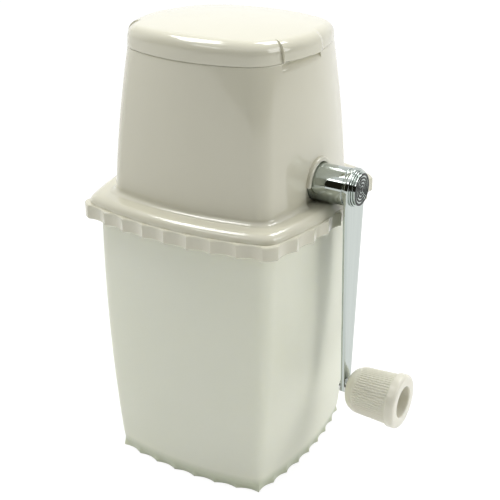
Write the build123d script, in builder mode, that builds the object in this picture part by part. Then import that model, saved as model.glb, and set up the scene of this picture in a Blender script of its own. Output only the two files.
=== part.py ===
"""Hand cranked ice shaver: a frosted container, a white hopper housing and a chrome crank.

The origin is the middle of the base on the table. +Z is up, the front faces -Y and the
crank stands out to +X. All sizes are in millimetres.
"""

from build123d import *

import math
import os
from itertools import pairwise

os.makedirs("parts", exist_ok=True)

# ---------------------------------------------------------------- driving dimensions
# Housing: the hopper casing, whose foot sets the plan of everything round it
HOUSING_BASE_HALF = 52.4
HOUSING_BASE_BOW = 6.3
HOUSING_BASE_CORNER = 11.0
HOUSING_MID_HEIGHT = 41.0
HOUSING_MID_INSET = 1.4
HOUSING_MID_BOW = 7.6
HOUSING_MID_CORNER = 14.0
HOUSING_HEIGHT = 77.3
HOUSING_TOP_INSET = 3.8
HOUSING_TOP_BOW = 9.4
HOUSING_TOP_CORNER = 19.0
HOUSING_WALL = 2.8
HOUSING_COVE = 2.6
ARCH_LIP_WIDTH = 2.6
ARCH_LIP_PROUD = 1.3
TAB_RECESS = 1.5
TAB_THICKNESS = 2.4
FINGER_NOTCH_HEIGHT = 3.6
FINGER_NOTCH_DEPTH = 2.0
FUNNEL_LUG_HALF_WIDTH = 6.0
FUNNEL_LUG_HEIGHT = 6.0
FUNNEL_LUG_LEDGE = 1.5

# Collar: the ring that stands on the container's rim and carries the housing
COLLAR_LEDGE_X = 13.6
COLLAR_LEDGE_Y = 14.6
COLLAR_HEIGHT = 12.2
COLLAR_PLATE = 3.0
COLLAR_GAP = 0.5
SKIRT_BOW = 8.5
SKIRT_WALL = 6.0
SKIRT_FLUTES = 8
SKIRT_FLUTE_DEPTH = 1.7
SKIRT_CORNER_TOOTH = 4.4
SKIRT_CORNER_BULGE = 1.3
SHOULDER_HEIGHT = 4.6
SHOULDER_INSET = 2.3
SHOULDER_CORNER = 9.0
SHOULDER_ROLL = 4.2
OUTLET_INSET = 2.7
OUTLET_HALF_Y = 26.0
OUTLET_CORNER = 4.0

# Container: a tapered cup whose foot is cut with flutes
CONTAINER_HEIGHT = 156.0
CONTAINER_MOUTH_BOW = 8.4
CONTAINER_MOUTH_CORNER = 12.0
CONTAINER_TAPER_X = 7.6
CONTAINER_TAPER_Y = 6.0
CONTAINER_BASE_CORNER = 7.0
CONTAINER_BELLY_HEIGHT = 80.0
CONTAINER_BELLY_INSET = 1.8
CONTAINER_BELLY_CORNER = 9.0
CONTAINER_WALL = 2.2
CONTAINER_FLOOR = 3.0
FOOT_INSET = 0.5
FOOT_BOW = 5.8
FOOT_HEIGHT = 7.0
FOOT_WALL = 3.4
FOOT_FRONT_FLUTES = 7
FOOT_SIDE_FLUTES = 8
FOOT_FLUTE_DEPTH = 1.5

# Lid: a crowned cap with a proud finger grip on each side
LID_OVERHANG = 0.3
LID_HEIGHT = 12.5
LID_BOW = 9.6
LID_CORNER = 19.1
LID_DRAFT = 4.0
LID_CROWN_RADIUS = 500.0
LID_CROWN_FORWARD = 20.0
LID_EDGE_ROUND = 6.5
LID_TOP_WALL = 2.4
LID_SIDE_WALL = 4.2
LID_RIM_DEPTH = 4.5
LID_RIM_ROOT = 4.0
LID_RIM_WALL = 1.6
GRIP_FRONT_Y = -27.0
GRIP_REAR_Y = 5.0
GRIP_PROUD = 1.6

# Hopper funnel
FUNNEL_WALL = 1.6
FUNNEL_FLANGE = 2.0
FUNNEL_DROP = 7.3
FUNNEL_BLADE_GAP = 2.2
FUNNEL_PLATE_GAP = 1.8
FUNNEL_THROAT_HALF_Y = 22.0
FUNNEL_THROAT_CORNER = 4.0

# Cutter frame
FRAME_GAP = 2.4
PLATE_THICKNESS = 1.6
PLATE_HALF_Y = 31.0
PLATE_RISE = 22.7
PLATE_CORNER = 7.0
FLANGE_REACH = 6.4
FLANGE_HALF_Y = 24.0
ROD_RADIUS = 2.5
ROD_SPREAD_Y = 26.0
ROD_DROP = 5.3
ROD_RISE = 14.7
ROD_SPIGOT_RADIUS = 1.8
ROD_HEAD_RADIUS = 3.2
ROD_HEAD = 1.2
COMB_THICKNESS = 3.0
COMB_OUTER_Y = 29.0
COMB_TIP_GAP = 2.0
COMB_TANG_WIDTH = 8.0
COMB_TANG_Y = 22.0
COMB_SLOT_CLEARANCE = 0.9

# Cutter shaft and what turns with it
SHAFT_SQUARE = 8.0
JOURNAL_RADIUS = 4.0
SHAFT_TAIL = 1.9
DRIVE_SQUARE = 5.6
BLADE_COUNT = 6
BLADE_PITCH = 11.0
BLADE_THICKNESS = 2.5
BLADE_RADIUS = 17.0
BLADE_HUB_RADIUS = 9.0
BLADE_TEETH = 3
SPACER_RADIUS = 7.0
BUSH_RADIUS = 6.5
BUSH_FLANGE_RADIUS = 8.5
BUSH_FLANGE = 1.5
BUSH_TAIL = 3.1
WASHER_RADIUS = 7.0
WASHER_THICKNESS = 1.0
RING_RADIUS = 6.6
RING_THICKNESS = 1.0
RING_GROOVE_RADIUS = 3.3

# Crank
BARREL_RADIUS = 9.9
BARREL_NECK_RADIUS = 5.6
BARREL_ENTRY = 3.2
ARM_SKIRT_GAP = 5.45
ARM_THICKNESS = 2.35
ARM_HEAD_RADIUS = 10.7
ARM_TIP_RADIUS = 4.0
ARM_LENGTH = 116.9
CAP_STEP_RADIUS = 9.7
CAP_STEP = 1.3
CAP_RADIUS = 8.6
CAP_HEIGHT = 3.2
CAP_WALL = 0.8
CAP_GROOVES = 4
CAP_GROOVE_PITCH = 1.7
CAP_GROOVE_WIDTH = 0.7
CAP_GROOVE_DEPTH = 0.35
SCREW_RADIUS = 1.5
CRANK_SCREW_HEAD_RADIUS = 5.0
CRANK_SCREW_HEAD = 1.5
CRANK_SCREW_LENGTH = 11.0

# Knob and its pin
KNOB_GAP = 1.3
KNOB_LENGTH = 32.2
KNOB_DOME_RADIUS = 12.6
KNOB_DOME_DEPTH = 6.5
KNOB_DOME_BULGE = 1.8
KNOB_BARREL_RADIUS = 13.8
KNOB_END_RADIUS = 15.0
KNOB_RIM_LENGTH = 5.5
KNOB_RIM_ROUND = 2.2
KNOB_RIM_BACK_ROUND = 1.0
KNOB_RIBS = 56
KNOB_RIB_DEPTH = 0.5
KNOB_POCKET_RADIUS = 8.6
KNOB_POCKET_DEPTH = 17.0
KNOB_PIN_RADIUS = 3.0
KNOB_PIN_HEAD_RADIUS = 4.0
KNOB_PIN_HEAD = 1.0
KNOB_PIN_TAIL = 1.6
KNOB_WASHER_RADIUS = 4.2
KNOB_WASHER_THICKNESS = 0.8
KNOB_NUT_RADIUS = 6.4
KNOB_NUT_THICKNESS = 1.1

# Fasteners
BOSS_RADIUS = 4.4
FRAME_SCREW_Y = 18.0
FRAME_SCREW_LENGTH = 9.0
FRAME_BOSS_DEPTH = 8.0
SCREW_HEAD_RADIUS = 2.8
SCREW_HEAD = 1.9
SCREW_SLOT_WIDTH = 0.8
SCREW_SLOT_DEPTH = 0.9
HOUSING_BOSS_INSET = 5.5
HOUSING_BOSS_HEIGHT = 13.0
HOUSING_SCREW_LENGTH = 12.0

# Fits
RUNNING_CLEARANCE = 0.05
PRESS_CLEARANCE = 0.02
LOOSE_CLEARANCE = 0.3
SCREW_CLEARANCE = 0.15
BARREL_CLEARANCE = 0.4
END_PLAY = 0.2

# ---------------------------------------------------------------- derived places
# Heights, from the table upwards
collar_seat_z = CONTAINER_HEIGHT
collar_top_z = collar_seat_z + COLLAR_PLATE
skirt_bottom_z = collar_top_z - COLLAR_HEIGHT
skirt_ledge_z = collar_top_z - SHOULDER_HEIGHT
lid_seam_z = collar_top_z + HOUSING_HEIGHT
lid_crown_z = lid_seam_z + LID_HEIGHT
arch_radius = BARREL_RADIUS + BARREL_CLEARANCE
shaft_z = collar_top_z + arch_radius
knob_z = shaft_z - ARM_LENGTH
plate_top_z = shaft_z + PLATE_RISE
funnel_rim_z = lid_seam_z - FUNNEL_DROP
flange_bottom_z = funnel_rim_z - FUNNEL_WALL
funnel_throat_z = shaft_z + BLADE_RADIUS + FUNNEL_BLADE_GAP
flange_top_z = collar_top_z + PLATE_THICKNESS

# Plan, from the housing's foot outwards
housing_top_half = HOUSING_BASE_HALF - HOUSING_TOP_INSET
lid_half = housing_top_half + LID_OVERHANG
slot_half_width = arch_radius + ARCH_LIP_WIDTH
tab_face_x = HOUSING_BASE_HALF - TAB_RECESS
skirt_half_x = HOUSING_BASE_HALF + COLLAR_LEDGE_X
skirt_half_y = HOUSING_BASE_HALF + COLLAR_LEDGE_Y
mouth_half_x = skirt_half_x - SKIRT_WALL - COLLAR_GAP
mouth_half_y = skirt_half_y - SKIRT_WALL - COLLAR_GAP
base_half_x = mouth_half_x - CONTAINER_TAPER_X
base_half_y = mouth_half_y - CONTAINER_TAPER_Y
boss_centre = HOUSING_BASE_HALF - HOUSING_BASE_BOW - HOUSING_BOSS_INSET

# Plan, from the housing's foot inwards
flange_outer_x = HOUSING_BASE_HALF - HOUSING_WALL - FRAME_GAP
frame_screw_x = flange_outer_x - FLANGE_REACH / 2
plate_outer_x = flange_outer_x - FLANGE_REACH
plate_inner_x = plate_outer_x - PLATE_THICKNESS
outlet_half_x = plate_inner_x - OUTLET_INSET
throat_half_x = plate_inner_x - FUNNEL_PLATE_GAP - FUNNEL_WALL
bush_inner_x = plate_inner_x - BUSH_FLANGE
bush_outer_x = plate_inner_x + BUSH_TAIL
square_end_x = bush_inner_x - END_PLAY
shaft_end_x = bush_outer_x + END_PLAY + WASHER_THICKNESS + RING_THICKNESS + SHAFT_TAIL

# Along the crank, from the housing's wall to the end of the knob
barrel_shoulder_x = HOUSING_BASE_HALF - BARREL_ENTRY
arm_inner_x = skirt_half_x + ARM_SKIRT_GAP
arm_face_x = arm_inner_x + ARM_THICKNESS
cap_face_x = arm_face_x + CAP_HEIGHT
knob_start_x = arm_face_x + KNOB_GAP
knob_end_x = knob_start_x + KNOB_LENGTH
pocket_floor_x = knob_end_x - KNOB_POCKET_DEPTH

blade_places = [(i - (BLADE_COUNT - 1) / 2) * BLADE_PITCH for i in range(BLADE_COUNT)]
crank_plane = Plane(origin=(0, 0, shaft_z), x_dir=(0, 1, 0), z_dir=(1, 0, 0))
knob_plane = Plane(origin=(0, 0, knob_z), x_dir=(0, 1, 0), z_dir=(1, 0, 0))


# ---------------------------------------------------------------- outlines
def bowed_outline(z, half_x, half_y, bow, corner):
    """Level outline at height z: four sides that bow outwards, with round corners."""
    x, y = half_x - bow, half_y - bow
    corners = [(x, -y), (x, y), (-x, y), (-x, -y), (x, -y)]
    with BuildSketch(Plane.XY.offset(z)) as outline:
        with BuildLine():
            for start, end in pairwise(corners):
                SagittaArc(start, end, -bow)
        make_face()
        fillet(outline.vertices(), corner)
    return outline.sketch


def cusp_steps(count, inset):
    """Even steps from -1 to 1, drawn in by inset at both ends."""
    return [(1 - inset) * (2 * i / count - 1) for i in range(count + 1)]


def fluted_outline(z, half_x, half_y, bow, flutes, depth, tooth, bulge):
    """Level outline at height z: hollow flutes between sharp cusps that lie on bowed sides."""
    x, y = half_x - bow, half_y - bow
    east = [(half_x - bow * t * t, y * t) for t in cusp_steps(flutes[1], tooth / y)]
    north = [(-x * t, half_y - bow * t * t) for t in cusp_steps(flutes[0], tooth / x)]
    west = [(-u, -v) for u, v in east]
    south = [(-u, -v) for u, v in north]
    with BuildSketch(Plane.XY.offset(z)) as outline:
        with BuildLine():
            for side, following in pairwise([east, north, west, south, east]):
                for start, end in pairwise(side):
                    SagittaArc(start, end, depth)
                if tooth:
                    SagittaArc(side[-1], following[0], -bulge)
        make_face()
    return outline.sketch


def narrowed(level, wall):
    """A level drawn in by a wall thickness."""
    z, half_x, half_y, bow, corner = level
    return z, half_x - wall, half_y - wall, bow, max(corner - wall, 1.0)


def level_rectangle(z, wall):
    """The funnel's throat at height z, grown by a wall thickness."""
    with BuildSketch(Plane.XY.offset(z)) as outline:
        RectangleRounded(
            2 * (throat_half_x + wall),
            2 * (FUNNEL_THROAT_HALF_Y + wall),
            FUNNEL_THROAT_CORNER + wall,
        )
    return outline.sketch


# ---------------------------------------------------------------- container
belly_half_x = mouth_half_x - CONTAINER_BELLY_INSET
belly_half_y = mouth_half_y - CONTAINER_BELLY_INSET
belly_bow = (FOOT_BOW + CONTAINER_MOUTH_BOW) / 2
container_levels = (
    (FOOT_HEIGHT, base_half_x, base_half_y, FOOT_BOW, CONTAINER_BASE_CORNER),
    (CONTAINER_BELLY_HEIGHT, belly_half_x, belly_half_y, belly_bow, CONTAINER_BELLY_CORNER),
    (collar_seat_z, mouth_half_x, mouth_half_y, CONTAINER_MOUTH_BOW, CONTAINER_MOUTH_CORNER),
)

with BuildPart() as container:
    foot = fluted_outline(
        0,
        base_half_x - FOOT_INSET,
        base_half_y - FOOT_INSET,
        FOOT_BOW,
        (FOOT_FRONT_FLUTES, FOOT_SIDE_FLUTES),
        FOOT_FLUTE_DEPTH,
        0,
        0,
    )
    extrude(foot, amount=FOOT_HEIGHT)
    loft([bowed_outline(*level) for level in container_levels])
    container_inside = [narrowed(level, CONTAINER_WALL) for level in container_levels]
    loft([bowed_outline(*level) for level in container_inside], mode=Mode.SUBTRACT)
    foot_inside = narrowed(container_levels[0], FOOT_WALL)
    extrude(
        bowed_outline(CONTAINER_FLOOR, *foot_inside[1:]),
        amount=FOOT_HEIGHT - CONTAINER_FLOOR,
        mode=Mode.SUBTRACT,
    )

# ---------------------------------------------------------------- collar
with BuildPart() as shoulder:
    extrude(
        bowed_outline(
            skirt_bottom_z,
            skirt_half_x - SHOULDER_INSET,
            skirt_half_y - SHOULDER_INSET,
            SKIRT_BOW,
            SHOULDER_CORNER,
        ),
        amount=collar_top_z - skirt_bottom_z,
    )
    fillet(shoulder.edges().group_by(Axis.Z)[-1], SHOULDER_ROLL)

# The tab stands in the housing's slot and closes it under the barrel.
with BuildPart() as slot_tab:
    with BuildSketch(crank_plane.offset(tab_face_x - TAB_THICKNESS)):
        Rectangle(
            2 * (slot_half_width - LOOSE_CLEARANCE),
            shaft_z - collar_top_z,
            align=(Align.CENTER, Align.MAX),
        )
        Circle(arch_radius, mode=Mode.SUBTRACT)
    extrude(amount=TAB_THICKNESS)

with BuildPart() as collar:
    skirt = fluted_outline(
        skirt_bottom_z,
        skirt_half_x,
        skirt_half_y,
        SKIRT_BOW,
        (SKIRT_FLUTES, SKIRT_FLUTES),
        SKIRT_FLUTE_DEPTH,
        SKIRT_CORNER_TOOTH,
        SKIRT_CORNER_BULGE,
    )
    extrude(skirt, amount=skirt_ledge_z - skirt_bottom_z)
    add(shoulder.part)
    # The container's rim stands in this hollow, against the underside of the plate.
    extrude(
        bowed_outline(
            skirt_bottom_z,
            mouth_half_x + COLLAR_GAP,
            mouth_half_y + COLLAR_GAP,
            CONTAINER_MOUTH_BOW,
            CONTAINER_MOUTH_CORNER + COLLAR_GAP,
        ),
        amount=collar_seat_z - skirt_bottom_z,
        mode=Mode.SUBTRACT,
    )
    add(slot_tab.part)
    with BuildSketch(Plane.XY.offset(collar_seat_z)):
        with GridLocations(2 * frame_screw_x, 2 * FRAME_SCREW_Y, 2, 2):
            Circle(BOSS_RADIUS)
    extrude(amount=-FRAME_BOSS_DEPTH)
    with BuildSketch(Plane.XY.offset(collar_top_z)):
        RectangleRounded(2 * outlet_half_x, 2 * OUTLET_HALF_Y, OUTLET_CORNER)
        with GridLocations(2 * boss_centre, 2 * boss_centre, 2, 2):
            Circle(SCREW_RADIUS + SCREW_CLEARANCE)
    extrude(amount=-COLLAR_PLATE, mode=Mode.SUBTRACT)
    with BuildSketch(Plane.XY.offset(collar_top_z)):
        with GridLocations(2 * frame_screw_x, 2 * FRAME_SCREW_Y, 2, 2):
            Circle(SCREW_RADIUS + PRESS_CLEARANCE)
    extrude(amount=-(FRAME_SCREW_LENGTH - PLATE_THICKNESS + SCREW_CLEARANCE), mode=Mode.SUBTRACT)

# ---------------------------------------------------------------- housing
mid_z = collar_top_z + HOUSING_MID_HEIGHT
mid_half = HOUSING_BASE_HALF - HOUSING_MID_INSET
housing_levels = (
    (collar_top_z, HOUSING_BASE_HALF, HOUSING_BASE_HALF, HOUSING_BASE_BOW, HOUSING_BASE_CORNER),
    (mid_z, mid_half, mid_half, HOUSING_MID_BOW, HOUSING_MID_CORNER),
    (lid_seam_z, housing_top_half, housing_top_half, HOUSING_TOP_BOW, HOUSING_TOP_CORNER),
)
# The funnel is dropped in from above, so its flange clears the housing's mouth.
flange_half = housing_top_half - HOUSING_WALL - LOOSE_CLEARANCE
flange_corner = HOUSING_TOP_CORNER - HOUSING_WALL - LOOSE_CLEARANCE
lug_start = flange_half - FUNNEL_LUG_LEDGE

with BuildPart() as housing_inside:
    loft([bowed_outline(*narrowed(level, HOUSING_WALL)) for level in housing_levels])

# Lugs under the funnel's flange and screw bosses in the corners, cut off within the walls.
with BuildPart() as housing_fittings:
    with BuildSketch(Plane.XY.offset(flange_bottom_z)):
        with PolarLocations(lug_start, 4):
            Rectangle(
                2 * HOUSING_WALL + FUNNEL_LUG_LEDGE,
                2 * FUNNEL_LUG_HALF_WIDTH,
                align=(Align.MIN, Align.CENTER),
            )
    extrude(amount=-FUNNEL_LUG_HEIGHT)
    with BuildSketch(Plane.XY.offset(collar_top_z)):
        with GridLocations(2 * boss_centre, 2 * boss_centre, 2, 2):
            Circle(BOSS_RADIUS)
            Circle(SCREW_RADIUS + PRESS_CLEARANCE, mode=Mode.SUBTRACT)
    extrude(amount=HOUSING_BOSS_HEIGHT)
    within_wall = [bowed_outline(*narrowed(level, HOUSING_WALL / 2)) for level in housing_levels]
    loft(within_wall, mode=Mode.INTERSECT)

with BuildPart() as housing:
    loft([bowed_outline(*level) for level in housing_levels])
    # The cove at the foot runs on upwards to half way into the wall.
    cove_foot = narrowed(housing_levels[0], -HOUSING_COVE)
    cove_head = narrowed(housing_levels[0], HOUSING_WALL / 2)
    cove_head_z = collar_top_z + HOUSING_COVE + HOUSING_WALL / 2
    loft([bowed_outline(*cove_foot), bowed_outline(cove_head_z, *cove_head[1:])])
    # Raised lip over the upper half of the barrel's opening.
    with BuildSketch(crank_plane.offset(HOUSING_BASE_HALF - HOUSING_WALL)):
        Circle(slot_half_width)
        Rectangle(
            2 * slot_half_width, slot_half_width, align=(Align.CENTER, Align.MAX), mode=Mode.SUBTRACT
        )
    extrude(amount=HOUSING_WALL + ARCH_LIP_PROUD)
    add(housing_inside.part, mode=Mode.SUBTRACT)
    add(housing_fittings.part)
    # The opening runs down to the base as a slot, so that the housing lifts off over the shaft.
    with BuildSketch(crank_plane.offset(plate_outer_x)):
        Circle(arch_radius)
        Rectangle(2 * slot_half_width, shaft_z - collar_top_z, align=(Align.CENTER, Align.MAX))
    extrude(amount=skirt_half_x - plate_outer_x, mode=Mode.SUBTRACT)
    # Notches in the top edge under the lid's finger grips.
    notch_floor = narrowed(housing_levels[2], FINGER_NOTCH_DEPTH)
    with BuildSketch(Plane.XY.offset(lid_seam_z)):
        with Locations((0, (GRIP_FRONT_Y + GRIP_REAR_Y) / 2)):
            Rectangle(3 * lid_half, GRIP_REAR_Y - GRIP_FRONT_Y)
        add(bowed_outline(*notch_floor), mode=Mode.SUBTRACT)
    extrude(amount=-FINGER_NOTCH_HEIGHT, mode=Mode.SUBTRACT)

# ---------------------------------------------------------------- hopper funnel
with BuildPart() as hopper_funnel:
    loft(
        [
            bowed_outline(
                flange_bottom_z,
                flange_half - FUNNEL_FLANGE,
                flange_half - FUNNEL_FLANGE,
                HOUSING_TOP_BOW,
                flange_corner - FUNNEL_FLANGE,
            ),
            level_rectangle(funnel_throat_z, FUNNEL_WALL),
        ],
        ruled=True,
    )
    extrude(
        bowed_outline(flange_bottom_z, flange_half, flange_half, HOUSING_TOP_BOW, flange_corner),
        amount=FUNNEL_WALL,
    )
    mouth_half = flange_half - FUNNEL_FLANGE - FUNNEL_WALL
    mouth_corner = flange_corner - FUNNEL_FLANGE - FUNNEL_WALL
    loft(
        [
            bowed_outline(funnel_rim_z, mouth_half, mouth_half, HOUSING_TOP_BOW, mouth_corner),
            level_rectangle(funnel_throat_z, 0),
        ],
        ruled=True,
        mode=Mode.SUBTRACT,
    )

# ---------------------------------------------------------------- lid
def crowned_block(base_z, crown_z, half, bow, corner):
    """Block with drafted, bowed sides under a domed top with a rounded edge."""
    top_half = half - (crown_z - base_z) * math.tan(math.radians(LID_DRAFT))
    with BuildPart() as block:
        loft(
            [
                bowed_outline(base_z, half, half, bow, corner),
                bowed_outline(crown_z, top_half, top_half, bow, corner),
            ]
        )
        with Locations((0, -LID_CROWN_FORWARD, crown_z - LID_CROWN_RADIUS)):
            Sphere(LID_CROWN_RADIUS, mode=Mode.INTERSECT)
        fillet(block.faces().sort_by(Axis.Z)[-1].edges(), LID_EDGE_ROUND)
    return block.part


with BuildPart() as lid_grips:
    add(crowned_block(lid_seam_z, lid_crown_z, lid_half + GRIP_PROUD, LID_BOW, LID_CORNER))
    with BuildSketch(Plane.XY.offset(lid_seam_z)):
        with Locations((0, (GRIP_FRONT_Y + GRIP_REAR_Y) / 2)):
            Rectangle(3 * lid_half, GRIP_REAR_Y - GRIP_FRONT_Y)
    extrude(amount=lid_crown_z - lid_seam_z, mode=Mode.INTERSECT)

# The rim drops into the housing's mouth with the same fit as the funnel's flange.
with BuildPart() as lid_rim:
    for inset, mode in ((0, Mode.ADD), (LID_RIM_WALL, Mode.SUBTRACT)):
        extrude(
            bowed_outline(
                lid_seam_z - LID_RIM_DEPTH,
                flange_half - inset,
                flange_half - inset,
                HOUSING_TOP_BOW,
                flange_corner - inset,
            ),
            amount=LID_RIM_DEPTH + LID_RIM_ROOT,
            mode=mode,
        )

with BuildPart() as lid:
    add(crowned_block(lid_seam_z, lid_crown_z, lid_half, LID_BOW, LID_CORNER))
    add(lid_grips.part)
    add(
        crowned_block(
            lid_seam_z,
            lid_crown_z - LID_TOP_WALL,
            lid_half - LID_SIDE_WALL,
            LID_BOW,
            LID_CORNER - LID_SIDE_WALL,
        ),
        mode=Mode.SUBTRACT,
    )
    add(lid_rim.part)

# ---------------------------------------------------------------- cutter frame
rod_places = [(y, z) for y in (-ROD_SPREAD_Y, ROD_SPREAD_Y) for z in (-ROD_DROP, ROD_RISE)]
tang_places = [(-COMB_TANG_Y, 0), (COMB_TANG_Y, 0)]

with BuildPart() as frame_plate_right:
    with BuildSketch(crank_plane.offset(plate_inner_x)) as plate_face:
        with Locations((0, collar_top_z - shaft_z)):
            Rectangle(2 * PLATE_HALF_Y, plate_top_z - collar_top_z, align=(Align.CENTER, Align.MIN))
        fillet(plate_face.vertices().group_by(Axis.Y)[-1], PLATE_CORNER)
        Circle(BUSH_RADIUS + PRESS_CLEARANCE, mode=Mode.SUBTRACT)
        with Locations(*rod_places):
            Circle(ROD_SPIGOT_RADIUS + PRESS_CLEARANCE, mode=Mode.SUBTRACT)
        with Locations(*tang_places):
            Rectangle(
                COMB_TANG_WIDTH + 2 * SCREW_CLEARANCE,
                COMB_THICKNESS + 2 * SCREW_CLEARANCE,
                mode=Mode.SUBTRACT,
            )
    extrude(amount=PLATE_THICKNESS)
    with BuildSketch(Plane.XY.offset(collar_top_z)):
        with Locations((plate_outer_x, 0)):
            Rectangle(FLANGE_REACH, 2 * FLANGE_HALF_Y, align=(Align.MIN, Align.CENTER))
        with Locations((frame_screw_x, -FRAME_SCREW_Y), (frame_screw_x, FRAME_SCREW_Y)):
            Circle(SCREW_RADIUS + SCREW_CLEARANCE, mode=Mode.SUBTRACT)
    extrude(amount=PLATE_THICKNESS)

with BuildPart() as frame_plate_left:
    mirror(frame_plate_right.part, about=Plane.YZ)

with BuildPart() as tie_rods:
    for start, length, radius in (
        (-plate_inner_x, 2 * plate_inner_x, ROD_RADIUS),
        (-plate_outer_x, 2 * plate_outer_x, ROD_SPIGOT_RADIUS),
        (-plate_outer_x - ROD_HEAD, ROD_HEAD, ROD_HEAD_RADIUS),
        (plate_outer_x, ROD_HEAD, ROD_HEAD_RADIUS),
    ):
        with BuildSketch(crank_plane.offset(start)):
            with Locations(*rod_places):
                Circle(radius)
        extrude(amount=length)

comb_tip_y = SPACER_RADIUS + COMB_TIP_GAP
with BuildPart() as front_comb:
    with BuildSketch(Plane.XY.offset(shaft_z - COMB_THICKNESS / 2)):
        with Locations((0, -(comb_tip_y + COMB_OUTER_Y) / 2)):
            Rectangle(2 * (plate_inner_x - SCREW_CLEARANCE), COMB_OUTER_Y - comb_tip_y)
        with Locations((0, -COMB_TANG_Y)):
            Rectangle(2 * plate_outer_x, COMB_TANG_WIDTH)
        for x in blade_places:
            with Locations((x, -comb_tip_y)):
                Rectangle(
                    BLADE_THICKNESS + 2 * COMB_SLOT_CLEARANCE,
                    BLADE_RADIUS + COMB_SLOT_CLEARANCE - comb_tip_y,
                    align=(Align.CENTER, Align.MAX),
                    mode=Mode.SUBTRACT,
                )
    extrude(amount=COMB_THICKNESS)

with BuildPart() as rear_comb:
    mirror(front_comb.part, about=Plane.XZ)

# ---------------------------------------------------------------- bushes and end stops
with BuildPart() as shaft_bush_right:
    with BuildSketch(crank_plane.offset(bush_inner_x)):
        Circle(BUSH_FLANGE_RADIUS)
    extrude(amount=BUSH_FLANGE)
    with BuildSketch(crank_plane.offset(bush_inner_x)):
        Circle(BUSH_RADIUS)
    extrude(amount=bush_outer_x - bush_inner_x)
    with BuildSketch(crank_plane.offset(bush_inner_x)):
        Circle(JOURNAL_RADIUS + RUNNING_CLEARANCE)
    extrude(amount=bush_outer_x - bush_inner_x, mode=Mode.SUBTRACT)

with BuildPart() as shaft_bush_left:
    mirror(shaft_bush_right.part, about=Plane.YZ)

washer_x = -bush_outer_x - END_PLAY
with BuildPart() as thrust_washer:
    with BuildSketch(crank_plane.offset(washer_x)):
        Circle(WASHER_RADIUS)
        Circle(JOURNAL_RADIUS + RUNNING_CLEARANCE, mode=Mode.SUBTRACT)
    extrude(amount=-WASHER_THICKNESS)

ring_x = washer_x - WASHER_THICKNESS
with BuildPart() as retaining_ring:
    with BuildSketch(crank_plane.offset(ring_x)):
        Circle(RING_RADIUS)
        Circle(RING_GROOVE_RADIUS + PRESS_CLEARANCE, mode=Mode.SUBTRACT)
        Rectangle(
            2 * RING_GROOVE_RADIUS, RING_RADIUS, align=(Align.CENTER, Align.MAX), mode=Mode.SUBTRACT
        )
    extrude(amount=-RING_THICKNESS)

# ---------------------------------------------------------------- cutter shaft, blades and spacers
with BuildPart() as cutter_shaft:
    with BuildSketch(crank_plane.offset(-square_end_x)):
        Rectangle(SHAFT_SQUARE, SHAFT_SQUARE)
    extrude(amount=2 * square_end_x)
    with BuildSketch(crank_plane.offset(-shaft_end_x)):
        Circle(JOURNAL_RADIUS)
    extrude(amount=shaft_end_x + arm_inner_x)
    with BuildSketch(crank_plane.offset(arm_inner_x)):
        Rectangle(DRIVE_SQUARE, DRIVE_SQUARE)
    extrude(amount=ARM_THICKNESS - SCREW_CLEARANCE)
    with BuildSketch(crank_plane.offset(ring_x + PRESS_CLEARANCE)):
        Circle(JOURNAL_RADIUS + RING_THICKNESS)
        Circle(RING_GROOVE_RADIUS, mode=Mode.SUBTRACT)
    extrude(amount=-(RING_THICKNESS + 2 * PRESS_CLEARANCE), mode=Mode.SUBTRACT)
    with BuildSketch(crank_plane.offset(arm_face_x)):
        Circle(SCREW_RADIUS + PRESS_CLEARANCE)
    extrude(amount=-(CRANK_SCREW_LENGTH + SCREW_CLEARANCE), mode=Mode.SUBTRACT)

square_hole = SHAFT_SQUARE + 2 * PRESS_CLEARANCE
tooth_root = BLADE_HUB_RADIUS * 0.7
with BuildPart() as cutter_blades:
    for turn, x in enumerate(blade_places):
        with BuildSketch(crank_plane.offset(x - BLADE_THICKNESS / 2)):
            Circle(BLADE_HUB_RADIUS)
            with PolarLocations(0, BLADE_TEETH, start_angle=90 * turn):
                Polygon(
                    (tooth_root, -BLADE_HUB_RADIUS / 2),
                    (BLADE_RADIUS, -BLADE_THICKNESS / 2),
                    (BLADE_RADIUS - BLADE_THICKNESS, BLADE_THICKNESS),
                    (tooth_root, BLADE_HUB_RADIUS / 2),
                    align=None,
                )
            Circle(BLADE_RADIUS, mode=Mode.INTERSECT)
            Rectangle(square_hole, square_hole, mode=Mode.SUBTRACT)
        extrude(amount=BLADE_THICKNESS)

blade_faces = [x + side * BLADE_THICKNESS / 2 for x in blade_places for side in (-1, 1)]
spacer_ends = [-square_end_x, *blade_faces, square_end_x]
with BuildPart() as blade_spacers:
    for start, end in zip(spacer_ends[::2], spacer_ends[1::2]):
        with BuildSketch(crank_plane.offset(start)):
            Circle(SPACER_RADIUS)
            Rectangle(square_hole, square_hole, mode=Mode.SUBTRACT)
        extrude(amount=end - start)

# ---------------------------------------------------------------- crank
with BuildPart() as crank_barrel:
    with BuildSketch(crank_plane.offset(bush_outer_x + END_PLAY)):
        Circle(BARREL_NECK_RADIUS)
    extrude(amount=barrel_shoulder_x - bush_outer_x - END_PLAY)
    with BuildSketch(crank_plane.offset(barrel_shoulder_x)):
        Circle(BARREL_RADIUS)
    extrude(amount=arm_inner_x - barrel_shoulder_x)
    with BuildSketch(crank_plane.offset(bush_outer_x + END_PLAY)):
        Circle(JOURNAL_RADIUS + PRESS_CLEARANCE)
    extrude(amount=arm_inner_x - bush_outer_x - END_PLAY, mode=Mode.SUBTRACT)

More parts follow.
